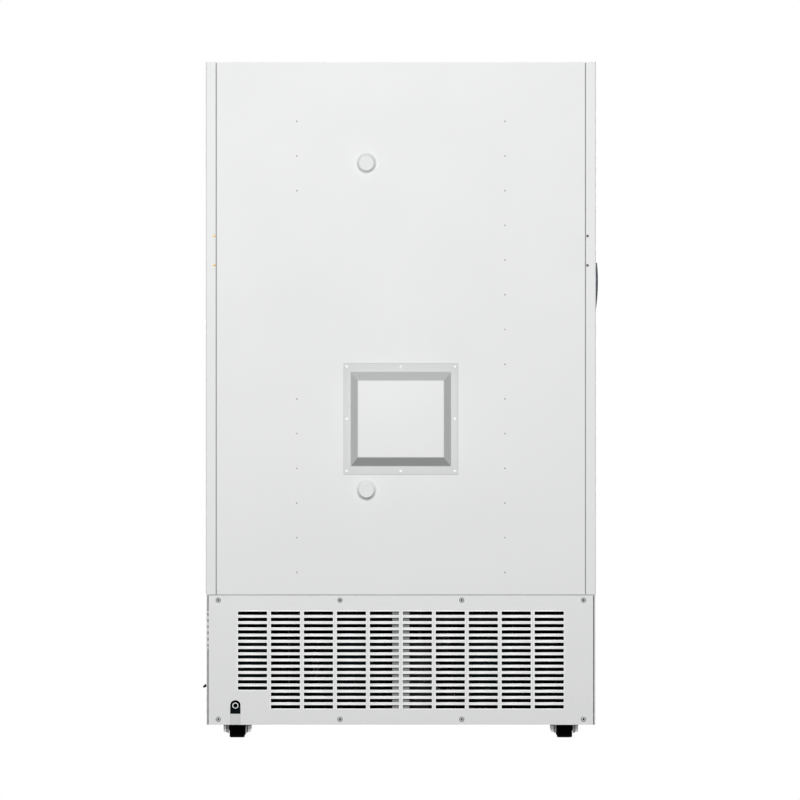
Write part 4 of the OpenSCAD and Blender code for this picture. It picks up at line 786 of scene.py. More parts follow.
@dataclass(frozen=True)
class Enamel(Grained):
    """Baked enamel on steel: even, with a faint orange peel and dust low down."""

    dust: float = 0.03
    dust_reach: float = 0.5
    dust_color: Color = (0.42, 0.40, 0.36)
    coat: float = 0.15
    coat_roughness: float = 0.3
    specular: float = 0.5

    def layers(self) -> list[Layer]:
        """Grain first, then dust over it."""
        dust = {"Dust Color": self.dust_color, "Reach": self.dust_reach, "Amount": self.dust}
        return super().layers() + [(Effect.DUST, dust)]

    def gloss(self) -> dict[str, float]:
        """A thin clear gloss over the paint."""
        coat = {"Coat Weight": self.coat, "Coat Roughness": self.coat_roughness}
        return coat | {"Specular IOR Level": self.specular}


@dataclass(frozen=True)
class PressedEnamel(Enamel):
    """Enamel on a raised pressing, with painted shade that makes it greyer towards the foot and on
    the flange.
    """

    foot: float = 0.4592
    height: float = 0.0375
    # painted shade: how far the flange, the slopes and the under slope are darkened, and its tint
    grime: float = 0.38
    slope_shade: float = 0.56
    under_z: float = 0.8222
    under_x: float = 0.1259
    mitre: float = 1.249
    under_shade: float = 0.44
    shade_tint: Color = (0.45, 0.455, 0.455)

    def layers(self) -> list[Layer]:
        """The enamel first, then the painted shade at its foot.

        Returns:
            The layers.
        """
        foot = {
            "Grime Color": self.shade_tint, "Foot": self.foot, "Height": self.height,
            "Amount": self.grime, "Slope Amount": self.slope_shade, "Under Z": self.under_z,
            "Under X": self.under_x, "Mitre": self.mitre, "Under Amount": self.under_shade,
        }
        return super().layers() + [(Effect.FOOT, foot)]


@dataclass(frozen=True)
class Moulded(Grained):
    """Moulded plastic or rubber with a fine spark-eroded grain and rubbed marks."""

    shade: float = 0.10
    cloud: float = 12.0
    grain: float = 1500.0
    spread: float = 0.12
    marks: float = 0.10
    mark_color: Color = (0.5, 0.5, 0.5)
    mark_scale: float = 60.0
    specular: float = 0.5

    def layers(self) -> list[Layer]:
        """Grain first, then small marks."""
        wear = {"Mark Color": self.mark_color, "Mark Scale": self.mark_scale, "Amount": self.marks}
        return super().layers() + [(Effect.WEAR, wear)]

    def gloss(self) -> dict[str, float]:
        """How much the surface mirrors."""
        return {"Specular IOR Level": self.specular}


@dataclass(frozen=True)
class Metal(Finish):
    """Bare metal with drawn or brushed lines and stained marks."""

    metallic: float = 1.0
    stretch: Point = (40.0, 40.0, 900.0)
    shade: float = 0.25
    spread: float = 0.18
    stain: float = 0.15
    stain_color: Color = (0.25, 0.24, 0.22)
    stain_scale: float = 25.0

    def layers(self) -> list[Layer]:
        """Lines first, then stains.

        Returns:
            The layers.
        """
        lines = {"Stretch": self.stretch, "Shade": self.shade, "Spread": self.spread}
        wear = {"Mark Color": self.stain_color, "Mark Scale": self.stain_scale}
        return [(Effect.BRUSH, lines), (Effect.WEAR, wear | {"Amount": self.stain})]


@dataclass(frozen=True)
class Glass(Grained):
    """Dark glass of a switched-off screen, with faint finger marks."""

    shade: float = 0.3
    cloud: float = 22.0
    grain: float = 300.0
    spread: float = 0.16
    coat_roughness: float = 0.03

    def gloss(self) -> dict[str, float]:
        """A hard clear top layer."""
        return {"Coat Weight": 1.0, "Coat Roughness": self.coat_roughness}


FINISHES: dict[Look, Finish] = {
    Look.WHITE_ENAMEL: Enamel((0.84, 0.845, 0.845), 0.43, bump=0.05, coat=0.10),
    # the raised cover's white enamel is lighter than the panel's, a painted highlight that makes
    # its flat top brighter; its flange and slopes get painted shade
    Look.PRESSED_COVER: PressedEnamel(
        (0.93, 0.935, 0.935), 0.55, bump=0.05, coat=0.03, slot="white_enamel"
    ),
    Look.GREY_ENAMEL: Enamel((0.72, 0.73, 0.73), 0.5, bump=0.06, dust=0.12),
    Look.DARK_ENAMEL: Enamel((0.014, 0.018, 0.020), 0.42, bump=0.10, dust=0.2, coat=0.2),
    Look.ZINC: Metal((0.62, 0.63, 0.65), 0.38, bump=0.05, stretch=(160.0, 160.0, 220.0)),
    Look.STAINLESS: Metal((0.66, 0.67, 0.68), 0.30, bump=0.06, stain=0.05),
    Look.FOAM: Moulded((0.78, 0.66, 0.36), 0.9, bump=0.5, grain=500.0, bump_depth=0.001),
    Look.WHITE_PLASTIC: Moulded((0.82, 0.83, 0.83), 0.42, bump=0.08, marks=0.05, shade=0.06),
    Look.GREY_PLASTIC: Moulded((0.60, 0.62, 0.64), 0.42, bump=0.10),
    Look.SLATE_PLASTIC: Moulded((0.045, 0.065, 0.105), 0.34, bump=0.12),
    Look.BLACK_PLASTIC: Moulded(
        (0.012, 0.012, 0.014), 0.42, bump=0.12, mark_color=(0.12, 0.12, 0.12)
    ),
    Look.GASKET: Moulded((0.52, 0.53, 0.54), 0.6, bump=0.12),
    Look.WHEEL: Moulded(
        (0.0016, 0.0016, 0.0018), 0.85, bump=0.2, grain=900.0, mark_color=(0.01, 0.01, 0.01),
        marks=0.2, specular=0.03,
    ),
    Look.COPPER: Metal((0.72, 0.36, 0.22), 0.32, bump=0.04, stain_color=(0.3, 0.14, 0.08)),
    Look.BRASS: Metal((0.60, 0.42, 0.17), 0.34, bump=0.04, stretch=(300.0, 60.0, 300.0)),
    Look.ALUMINIUM: Metal((0.55, 0.57, 0.58), 0.42, bump=0.05, stretch=(60.0, 60.0, 700.0)),
    Look.FILTER: Moulded((0.16, 0.17, 0.17), 0.95, bump=0.8, grain=700.0, bump_depth=0.002),
    Look.SCREEN: Glass((0.006, 0.008, 0.011), 0.12, bump=0.01),
    # the vent lips are the grille's white enamel made lighter, a painted highlight along each slot
    Look.LIT_VENT_LIP: Enamel(
        (0.98, 0.985, 0.985), 0.32, bump=0.03, dust=0.0, coat=0.8, slot="white_enamel"
    ),
    # sealant grey: real in the panel joints, painted shade on the rear cover's post pad
    Look.SEALANT_AND_SHADE: Moulded((0.28, 0.285, 0.29), 0.7, bump=0.15, grain=700.0, slot="gasket_rubber"),
    Look.SHADOW_TRIM: Moulded((0.11, 0.112, 0.114), 0.65, bump=0.15, slot="black_plastic"),
    Look.AGED_ZINC: Metal(
        (0.34, 0.34, 0.35), 0.5, bump=0.05, stretch=(200.0, 200.0, 200.0), slot="zinc_steel"
    ),
    # the grey of the rear cover's washers is painted shade round the edge of each screw head
    Look.SHADED_WASHER: Moulded((0.28, 0.285, 0.29), 0.6, bump=0.10, slot="grey_plastic"),
    Look.FLOOR_GREY: Enamel((0.30, 0.305, 0.305), 0.6, bump=0.06, coat=0.0, slot="grey_enamel"),
    # a whiter copy of the white plastic, painted light on the recessed cord gland
    Look.LIT_NYLON: Moulded(
        (0.95, 0.955, 0.955), 0.35, bump=0.06, marks=0.03, shade=0.03, slot="white_plastic"
    ),
    # zinc screw heads made white: a painted highlight standing in for their glint
    Look.GLINT_HEAD: Enamel(
        (0.97, 0.97, 0.97), 0.25, bump=0.02, dust=0.0, coat=0.4, slot="zinc_steel"
    ),
    Look.SATIN_ZINC: Metal(
        (0.60, 0.61, 0.62), 0.55, metallic=0.25, bump=0.04, stretch=(260.0, 260.0, 260.0),
        shade=0.15, stain=0.05, slot="zinc_steel",
    ),
    Look.SOOT_BLACK: Moulded(
        (0.002, 0.002, 0.0022), 0.85, bump=0.1, marks=0.0, specular=0.08, slot="black_plastic"
    ),
    Look.TUBE_SLEEVE: Moulded(
        (0.006, 0.009, 0.010), 0.9, bump=0.5, grain=650.0, bump_depth=0.0006,
        mark_color=(0.03, 0.03, 0.03), slot="wheel_rubber",
    ),
    Look.MATT_BLACK: Enamel(
        (0.0040, 0.0095, 0.0100), 0.85, bump=0.2, dust=0.0, coat=0.0, specular=0.06,
        slot="dark_enamel",
    ),
}

# Look of each CAD node that is carried over
NODE_LOOKS: dict[Look, str] = {
    Look.WHITE_ENAMEL: "side_panel_right side_panel_left top_panel back_panel rear_grille",
    Look.GREY_ENAMEL: "base_frame",
    Look.FLOOR_GREY: "cabinet_floor",
    Look.MATT_BLACK: "base_deck fan_units",
    Look.STAINLESS: "inner_liner shelf_rails shelves cascade_exchanger",
    Look.FOAM: "insulation door_insulation",
    Look.WHITE_PLASTIC: "breaker_strips door_liner",
    Look.GASKET: "door_gasket",
    Look.COPPER: "evaporator_coil",
    Look.TUBE_SLEEVE: "refrigerant_lines",
    Look.FILTER: "air_filter",
}


class Workshop:
    """Holds the finishes and hands each finished piece over."""

    def __init__(self) -> None:
        """Builds the shared effects and every finish, and notes each node's body."""
        effects = Effects()
        self.materials = {
            look: finish.build(look.value, effects) for look, finish in FINISHES.items()
        }
        self.bodies = {
            node: body
            for body, nodes in frame["record"]["behaviour"]["bodies"].items()
            for node in nodes
        }

    def finish(
        self, name: str, parts: Sequence[Object], look: Look, body: str = "cabinet", node: str = ""
    ) -> None:
        """Joins a piece, gives it its finish and its body, and hides the CAD node it stands for.

        Args:
            name: The piece's name.
            parts: The parts, which become one object.
            look: The look that it gets.
            body: The body it rides on.
            node: The CAD node that it replaces, if it does.
        """
        take(*parts)
        if len(parts) > 1:
            bpy.ops.object.join()
        obj = parts[0]
        obj.name = name
        obj.data.name = obj.name
        obj.data.materials.clear()
        obj.data.materials.append(self.materials[look])
        for polygon in obj.data.polygons:
            polygon.material_index = 0
        if node:
            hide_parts(node)
        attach(obj, body)
        LOG.info("%s: %d faces on %s", obj.name, len(obj.data.polygons), body)

    def paint_nodes(self) -> None:
        """Gives every carried CAD node the material of its look."""
        for look, names in NODE_LOOKS.items():
            for name in names.split():
                for place in frame["nodes"][name].material_slots:
                    place.material = self.materials[look]
        LOG.info("CAD nodes painted")


# Studio


@dataclass
class Studio:
    """Camera, floor and soft light."""

    lens: float = 1500.0
    sensor: float = 36.0
    clip: Pair = (1.0, 500.0)
    distance: float = 97.67
    centre_x: float = 0.0025
    centre_z: float = 0.9896
    floor_size: float = 16.0
    floor_z: float = -0.0002
    floor_grey: Color = (0.26, 0.26, 0.26)
    floor_light: float = 1.05
    floor_glow: float = 0.96
    ambient: float = 0.055
    aim: Point = (0.0, 0.0, 1.0)

    def build(self) -> None:
        """Sets up the camera first, then the floor and the lights."""
        self.camera()
        self.floor()
        self.world()
        for lamp in (
            ("rear_light", (0.3, 8.0, 2.8), 3.6, 464.0),
            ("front_light", (-0.8, -7.5, 3.0), 3.0, 140.0),
            ("side_light_a", (5.0, -4.0, 1.4), 2.0, 160.0),
            ("side_light_b", (-5.0, -4.0, 1.4), 2.0, 160.0),
            ("top_light", (0.0, 0.0, 4.6), 0.8, 34.0),
        ):
            self.lamp(*lamp)
        LOG.info("studio: camera, floor and lights")

    def camera(self) -> None:
        """A long lens square to the rear face, as in the photograph."""
        deselect()
        bpy.ops.object.camera_add(
            location=(self.centre_x, REAR_Y + self.distance, self.centre_z),
            rotation=(QUARTER, 0.0, math.pi),
        )
        camera = bpy.context.object
        camera.name = "camera"
        camera.data.lens = self.lens
        camera.data.sensor_width = self.sensor
        camera.data.clip_start, camera.data.clip_end = self.clip
        bpy.context.scene.camera = camera

    def floor(self) -> None:
        """A plain pale floor, nearly white to the camera and in what metal mirrors."""
        deselect()
        bpy.ops.mesh.primitive_plane_add(size=self.floor_size, location=(0.0, 0.0, self.floor_z))
        floor = bpy.context.object
        floor.name = "floor"
        material = bpy.data.materials.new("floor")
        material.use_nodes = True
        wiring = Wiring(material.node_tree)
        matt = wiring.add("ShaderNodeBsdfDiffuse")
        wiring.fill(matt, {"Color": self.floor_grey})
        seen = wiring.add("ShaderNodeEmission")
        wiring.fill(seen, {"Color": WHITE, "Strength": self.floor_light})
        path = wiring.add("ShaderNodeLightPath").outputs
        looked_at = wiring.math("MAXIMUM", path["Is Camera Ray"], path["Is Glossy Ray"])
        share = wiring.times(looked_at, self.floor_glow)
        wiring.mix_shaders(share, matt, seen, "ShaderNodeOutputMaterial")
        floor.data.materials.append(material)

    def world(self) -> None:
        """White to the camera, and a weaker even light on the object."""
        world = bpy.data.worlds.new("studio")
        bpy.context.scene.world = world
        world.use_nodes = True
        wiring = Wiring(world.node_tree)
        around, seen = (wiring.add("ShaderNodeBackground") for _ in range(2))
        wiring.fill(around, {"Color": WHITE, "Strength": self.ambient})
        wiring.fill(seen, {"Color": WHITE, "Strength": 1.0})
        path = wiring.add("ShaderNodeLightPath").outputs
        wiring.mix_shaders(path["Is Camera Ray"], around, seen, "ShaderNodeOutputWorld")
        bpy.context.scene.view_settings.view_transform = "Standard"

    def lamp(self, name: str, place: Point, size: float, power: float) -> None:
        """Adds one area light aimed at the middle of the object.

        Args:
            name: The light's name.
            place: Where it stands, in metres.
            size: Its side in metres.
            power: Its power in watts.
        """
        deselect()
        facing = (Vector(self.aim) - Vector(place)).to_track_quat("-Z", "Y").to_euler()
        bpy.ops.object.light_add(type="AREA", location=place, rotation=facing)
        lamp = bpy.context.object
        lamp.name = name
        lamp.data.shape = "SQUARE"
        lamp.data.size = size
        lamp.data.energy = power


# Sub-assemblies


@dataclass
class SubAssembly:
    """Pieces that are built together."""

    shop: Workshop

    def refine(self, rows: Sequence[tuple[str, str, Look, float]], segments: int) -> None:
        """Rounds the edges of CAD nodes and hands them over as pieces.

        Args:
            rows: Each node with its piece's name, its look and its rounding in metres.
            segments: The number of segments across each rounding.
        """
        for node, name, look, width in rows:
            piece = merged_copy(node, name)
            soften(piece, width, segments)
            self.shop.finish(name, [piece], look, self.shop.bodies[node], node)


# Rear face


@dataclass
class RaisedCover(SubAssembly):
    """The pressed cover over the heat exchanger, and its gasket, whose grey rim is painted shadow.
    """

    flange: Pair = (0.334, 0.325)
    foot: Pair = (0.2945, 0.277)
    top: Pair = (0.2517, 0.2237)
    reach: float = 0.040
    bend: float = 0.0022
    edge: float = 0.001
    gasket_y: float = 0.0008
    gasket_out: float = 0.0018
    gasket_width: float = 0.012
    gasket_sheet: float = 0.0007
    gasket_edge: float = 0.0002

    def build(self) -> None:
        """Presses the cover from one plane and lays its gasket."""
        centre = (0.0, REAR_Y + COVER_SHEET, COVER_Z)
        cover = sheet("raised_cover", centre, -QUARTER, self.flange)
        self.press(cover, centre)
        modify(cover, "SOLIDIFY", thickness=COVER_SHEET, offset=-1.0)
        shade(cover, 50.0)
        self.shop.finish("raised_cover", [cover], Look.PRESSED_COVER, node="heat_exchanger_cover")
        self.gasket()

    def gasket(self) -> None:
        """A thin sealing frame under the flange, a little wider than it; the grey rim it shows is
        painted shadow along the flange's edge.
        """
        size = (self.flange[0] + self.gasket_out, self.flange[1] + self.gasket_out)
        seal = sheet("cover_shadow_gasket", (0.0, REAR_Y + self.gasket_y, COVER_Z), -QUARTER, size)
        enter(seal, action="SELECT")
        bpy.ops.mesh.inset(thickness=self.gasket_width, depth=0.0)
        bpy.ops.mesh.delete(type="FACE")
        leave()
        modify(seal, "SOLIDIFY", thickness=self.gasket_sheet, offset=-1.0)
        soften(seal, self.gasket_edge, 1)
        # the gasket's grey rim beyond the flange is a painted shadow line
        self.shop.finish("cover_shadow_gasket", [seal], Look.GASKET)

    def press(self, cover: Object, centre: Point) -> None:
        """Insets the flange, draws the middle out and rounds the bends.

        Args:
            cover: The flat sheet.
            centre: The middle of its outer face, in metres.
        """
        enter(cover, action="SELECT")
        bpy.ops.mesh.normals_make_consistent(inside=False)
        inset = (self.flange[0] - self.foot[0]) / 2
        bpy.ops.mesh.inset(thickness=inset, depth=0.0)
        squeeze = self.foot[1] / (self.flange[1] - 2 * inset)
        bpy.ops.transform.resize(value=(1.0, 1.0, squeeze), center_override=centre)
        rise = (0.0, self.reach - COVER_SHEET, 0.0)
        bpy.ops.mesh.extrude_region_move(TRANSFORM_OT_translate={"value": rise})
        bpy.ops.transform.resize(
            value=(self.top[0] / self.foot[0], 1.0, self.top[1] / self.foot[1]),
            center_override=(0.0, REAR_Y + self.reach, COVER_Z),
        )
        half_x, half_z = (side / 2 - self.edge for side in self.flange)
        pick(
            cover, "EDGE",
            lambda *ends: all(abs(v.x) < half_x and abs(v.z - COVER_Z) < half_z for v in ends),
        )
        bpy.ops.mesh.bevel(offset=self.bend, segments=4, affect="EDGES", clamp_overlap=True)
        leave()


@dataclass
class Screws(SubAssembly):
    """Pan heads of the raised cover, white as a painted highlight, and the rear cover's grey
    washers, heads and dark sockets, whose grey and dark are painted shade.
    """

    small_at: Pair = (0.1588, 0.153)
    large_x: Pair = (0.17833, 0.535)
    large_z: Pair = (0.0543, 0.4033)
    pan: Profile = (
        (0, 1.2), (0.7, 1.2), (0.8, 1.8), (1.5, 1.85), (3.5, 1.7), (4.3, 1.3), (4.7, 0.5),
        (4.7, 0), (1.6, 0), (1.6, -3), (0, -3),
    )
    washer: Profile = (
        (3, 0), (7.4, 0), (7.75, 0.3), (7.6, 1.0), (6.8, 1.25), (3, 1.25), (3, 0),
    )
    head: Profile = (
        (0, 1.4), (2.9, 1.4), (3.0, 2.6), (3.4, 2.75), (4.6, 2.65), (5.3, 2.2), (5.6, 1.5),
        (5.6, 1.25), (2.4, 1.25), (2.4, -5), (0, -5),
    )
    socket: Profile = ((0, 1.45), (2.2, 1.45), (3.0, 2.0), (3.05, 1.3), (0, 1.3))

    def build(self) -> None:
        """Turns one of each round part and repeats it over its screws."""
        across, up = self.small_at
        small = [(x * across, COVER_Z + z * up) for x in (-1, 0, 1) for z in (-1, 0, 1) if x or z]
        large = [(side * x, z) for side in (-1, 1) for x in self.large_x for z in self.large_z]
        high = REAR_Y + COVER_SHEET
        for name, look, profile, steps, y, spots, node in (
            # white pan heads are painted highlight; grey washers and black socket discs are painted
            # shade
            ("raised_cover_screws", Look.GLINT_HEAD, self.pan, 20, high, small, "rear_screws"),
            ("rear_cover_washers", Look.SHADED_WASHER, self.washer, 28, REAR_Y, large, ""),
            ("rear_cover_screws", Look.SATIN_ZINC, self.head, 28, REAR_Y, large, ""),
            ("rear_cover_socket_shade", Look.SOOT_BLACK, self.socket, 6, REAR_Y, large, ""),
        ):
            x0, z0 = spots[0]
            first = turned(name, profile, (x0, y, z0), REARWARD, steps)
            parts = repeat(first, [(x - x0, 0.0, z - z0) for x, z in spots[1:]])
            self.shop.finish(name, parts, look, node=node)


@dataclass
class Joints(SubAssembly):
    """Sealant in the back panel's joints, and dark strips beside the rear cover and a grey pad on
    its post, both painted shadow.
    """

    bead_x: Pair = (0.5394, 0.5426)
    bead_y: Pair = (0.4515, 0.4571)
    bead_end: float = 0.003
    strip_x: Pair = (0.5636, 0.5668)
    strip_y: Pair = (0.4522, 0.4556)
    louvre_top: float = 0.371
    louvre_pitch: float = 0.0183
    louvre_gap: float = 0.013
    louvre_strip: float = 0.008
    louvres: int = 6
    pad_x: Pair = (-0.0249, 0.0249)
    pad_y: Pair = (0.4470, 0.4488)
    pad_ends: Pair = (0.034, 0.040)
    hollow_rim: float = 0.0006
    hollow: float = 0.0005

    def build(self) -> None:
        """Lays both beads, the whole shadow strip, the shadow strip cut away behind each louvre,
        and the post's shade pad.
        """
        tall = (CABINET_LOW, TOP_Z - self.bead_end)
        beads = [self.strip(side, self.bead_x, self.bead_y, tall) for side in (-1, 1)]
        self.shop.finish("panel_sealant", beads, Look.SEALANT_AND_SHADE)
        tops = [self.louvre_top - index * self.louvre_pitch for index in range(self.louvres + 1)]
        runs = [(BASE_LOW, tops[-1]), (self.louvre_top, BASE_TOP)]
        for top in tops[:-1]:
            low = top - self.louvre_gap
            runs.append((low, low + self.louvre_strip))
        # dark strips in the gaps beside the rear cover: painted shadow
        trims = [self.strip(-1, self.strip_x, self.strip_y, (BASE_LOW, BASE_TOP))]
        trims += [self.strip(1, self.strip_x, self.strip_y, run) for run in runs]
        self.shop.finish("cover_edge_shadow_strips", trims, Look.SHADOW_TRIM)
        # grey pad in front of the middle post: painted shade behind the grille
        run = (BASE_LOW + self.pad_ends[0], BASE_TOP - self.pad_ends[1])
        self.shop.finish("post_shade_pad", [self.strip(1, self.pad_x, self.pad_y, run)], Look.SEALANT_AND_SHADE)

    def strip(self, side: int, x: Pair, y: Pair, z: Pair) -> Object:
        """Lays one upright strip with a hollowed face.

        Args:
            side: 1 for positive X, -1 for the other side.
            x: Its two distances from the middle.
            y: Its depth, from and to.
            z: Its foot and top.

        Returns:
            The strip.
        """
        left, right = sorted((side * x[0], side * x[1]))
        strip = block("strip", (left, y[0], z[0]), (right, y[1], z[1]))
        enter(strip)
        pick(strip, "FACE", lambda centre, normal: normal.y > 0.9)
        bpy.ops.mesh.inset(thickness=self.hollow_rim, depth=-self.hollow)
        leave()
        shade(strip, 80.0)
        return strip


@dataclass
class RearFittings(SubAssembly):
    """Rivets, threaded inserts, port sleeves and port plugs."""

    rivet_x: float = 0.305
    rivet_top: float = 1.806
    rivet_pitch: float = 0.10165
    rivet_rows: int = 14
    rivet_break: range = range(3, 8)
    insert_x: float = 0.547
    insert_z: Pair = (1.384, 1.470)
    port_x: float = 0.101
    port_z: Pair = (0.7258, 1.6836)
    port_flange: float = 0.004
    rivet: Profile = ((0, 0.55), (0.7, 0.6), (0.9, 0.8), (1.6, 0.7), (2.1, 0.35), (2.2, 0), (0, 0))
    insert: Profile = (
        (2.1, -12), (3.5, -12), (3.5, 0.1), (3.2, 0.4), (2.5, 0.4), (2.1, 0.1), (2.4, -0.6),
        (2.1, -1.2), (2.4, -1.8), (2.1, -2.4), (2.4, -3.0), (2.1, -3.6), (2.1, -12),
    )
    sleeve: Profile = (
        (13, -110), (15.5, -110), (15.5, 0), (28.2, 0), (29, 0.8), (28.7, 3.1), (27.4, 4),
        (13, 4), (13, -110),
    )
    plug: Profile = (
        (0, 19.8), (18, 19.8), (21.4, 20), (22.1, 19.7), (22.6, 19.2), (22.9, 18.6), (23, 17.9),
        (23, 14.2), (22.4, 13.4), (21.6, 12.9), (21.6, 10.6), (22.4, 10.1), (23, 9.3),
        (23, 1.2), (22.6, 0.3), (21.6, 0.05), (12.95, 0.05), (12.95, -92), (11.5, -94.5),
        (0, -94.5),
    )

    def build(self) -> None:
        """Makes all the small fittings of the rear face."""
        self.rivets()
        self.inserts()
        self.ports()

    def rivets(self) -> None:
        """One domed rivet, repeated in two columns, of which one has a break."""
        place = (-self.rivet_x, REAR_Y, self.rivet_top)
        shifts = []
        for row in range(self.rivet_rows):
            drop = -row * self.rivet_pitch
            if row:
                shifts.append((0.0, 0.0, drop))
            if row not in self.rivet_break:
                shifts.append((2 * self.rivet_x, 0.0, drop))
        parts = repeat(turned("rivet", self.rivet, place, REARWARD, 10), shifts)
        self.shop.finish("rear_rivets", parts, Look.AGED_ZINC, node="back_panel_rivets")

    def inserts(self) -> None:
        """Four threaded inserts; the pair on one side has darkened."""
        low, high = self.insert_z
        first = turned("insert", self.insert, (self.insert_x, REAR_Y, low), REARWARD, 24)
        bright = repeat(first, [(0.0, 0.0, high - low)])
        dark = [copy_at(part, "copy", (-2 * self.insert_x, 0.0, 0.0)) for part in bright]
        self.shop.finish("bright_inserts", bright, Look.BRASS, node="threaded_inserts")
        self.shop.finish("dark_inserts", dark, Look.DARK_ENAMEL)

    def ports(self) -> None:
        """Flanged sleeve and grooved plug of each access port."""
        low, high = self.port_z
        rise = (0.0, 0.0, high - low)
        look = Look.WHITE_PLASTIC
        sleeve = turned("sleeve", self.sleeve, (self.port_x, REAR_Y, low), REARWARD, 48)
        self.shop.finish("port_flanges", repeat(sleeve, [rise]), look, node="port_sleeves")
        place = (self.port_x, REAR_Y + self.port_flange, low)
        lower, upper = repeat(turned("plug", self.plug, place, REARWARD, 56, 40.0), [rise])
        self.shop.finish("port_cap_lower", [lower], look, "plug_low", "port_plug_lower")
        self.shop.finish("port_cap_upper", [upper], look, "plug_up", "port_plug_upper")


# Sheet metal


@dataclass
class SheetMetal(SubAssembly):
    """The bent sheets: their outer folds are rounded as a press brake leaves them."""

    fold: float = 0.0022
    door_fold: float = 0.0035

    def build(self) -> None:
        """Rounds the outer folds of each sheet that has any."""
        for node, name, along, width in (
            ("door_shell", "door_skin", "XYZ", self.door_fold),
            ("front_grille", "grille_skin", "Z", self.fold),
            ("base_side_left", "base_skin_left", "Z", self.fold),
            ("base_side_right", "base_skin_right", "Z", self.fold),
        ):
            piece = merged_copy(node, name)
            self.round_folds(piece, along, width)
            self.shop.finish(name, [piece], Look.WHITE_ENAMEL, self.shop.bodies[node], node)

    @staticmethod
    def round_folds(piece: Object, along: str, width: float) -> None:
        """Rounds the edges where two of the outer faces meet.

        Args:
            piece: The sheet.
            along: The directions of the edges to round.
            width: The rounding's width in metres.
        """
        limits = [(min(side), max(side)) for side in zip(*piece.bound_box)]

        def outer(a: Vector, b: Vector, axis: int) -> bool:
            """Whether both ends lie in one outer face across an axis."""
            return any(max(abs(a[axis] - at), abs(b[axis] - at)) < 1e-5 for at in limits[axis])

        def fold(a: Vector, b: Vector) -> bool:
            """Whether an edge is a fold between two outer faces."""
            run = max(range(3), key=lambda axis: abs(a[axis] - b[axis]))
            return "XYZ"[run] in along and sum(outer(a, b, i) for i in range(3) if i != run) == 2

        enter(piece)
        if pick(piece, "EDGE", fold):
            bpy.ops.mesh.bevel(offset=width, segments=4, affect="EDGES", clamp_overlap=True)
        leave()
        shade(piece, 30.0)


@dataclass
class VentLips(SubAssembly):
    """Rolled lips round the slots of a vented cover."""

    name: str
    face_y: float
    outward: float
    body: str
    top_z: float
    rows: int
    pitch_z: float
    slot: Pair
    pitch_x: float = 0.0966
    columns: int = 10
    short: int = 0
    rim: float = 0.0038
    roll: float = 0.4
    proud: float = 0.0009

    def build(self) -> None:
        """Rolls one lip and repeats it; with short set, the last column has fewer rows."""
        parts = [self.field(self.columns - bool(self.short), self.rows, 0)]
        if self.short:
            parts.append(self.field(1, self.rows - self.short, self.columns - 1))
        # the lips' lighter enamel is a painted highlight round each slot
        self.shop.finish(self.name, parts, Look.LIT_VENT_LIP, self.body)

    def field(self, columns: int, rows: int, first: int) -> Object:
        """Makes a block of lips.

        Args:
            columns: The number of columns.
            rows: The number of rows.
            first: The column it starts in.

        Returns:
            The block as one object.
        """
        x = (first - (self.columns - 1) / 2) * self.pitch_x
        size = (self.slot[0] + 2 * self.rim, self.slot[1] + 2 * self.rim)
        lip = sheet("lip", (x, self.face_y, self.top_z), -self.outward * QUARTER, size)
        enter(lip, action="SELECT")
        bpy.ops.mesh.inset(thickness=self.rim, depth=0.0)
        bpy.ops.mesh.delete(type="FACE")
        pick_all()
        bpy.ops.mesh.inset(
            thickness=self.rim * self.roll, depth=self.proud, use_boundary=True,
            use_even_offset=True,
        )
        leave()
        shade(lip, 80.0)
        spread(lip, columns, (self.pitch_x, 0.0, 0.0))
        spread(lip, rows, (0.0, 0.0, -self.pitch_z))
        return lip


# Casters


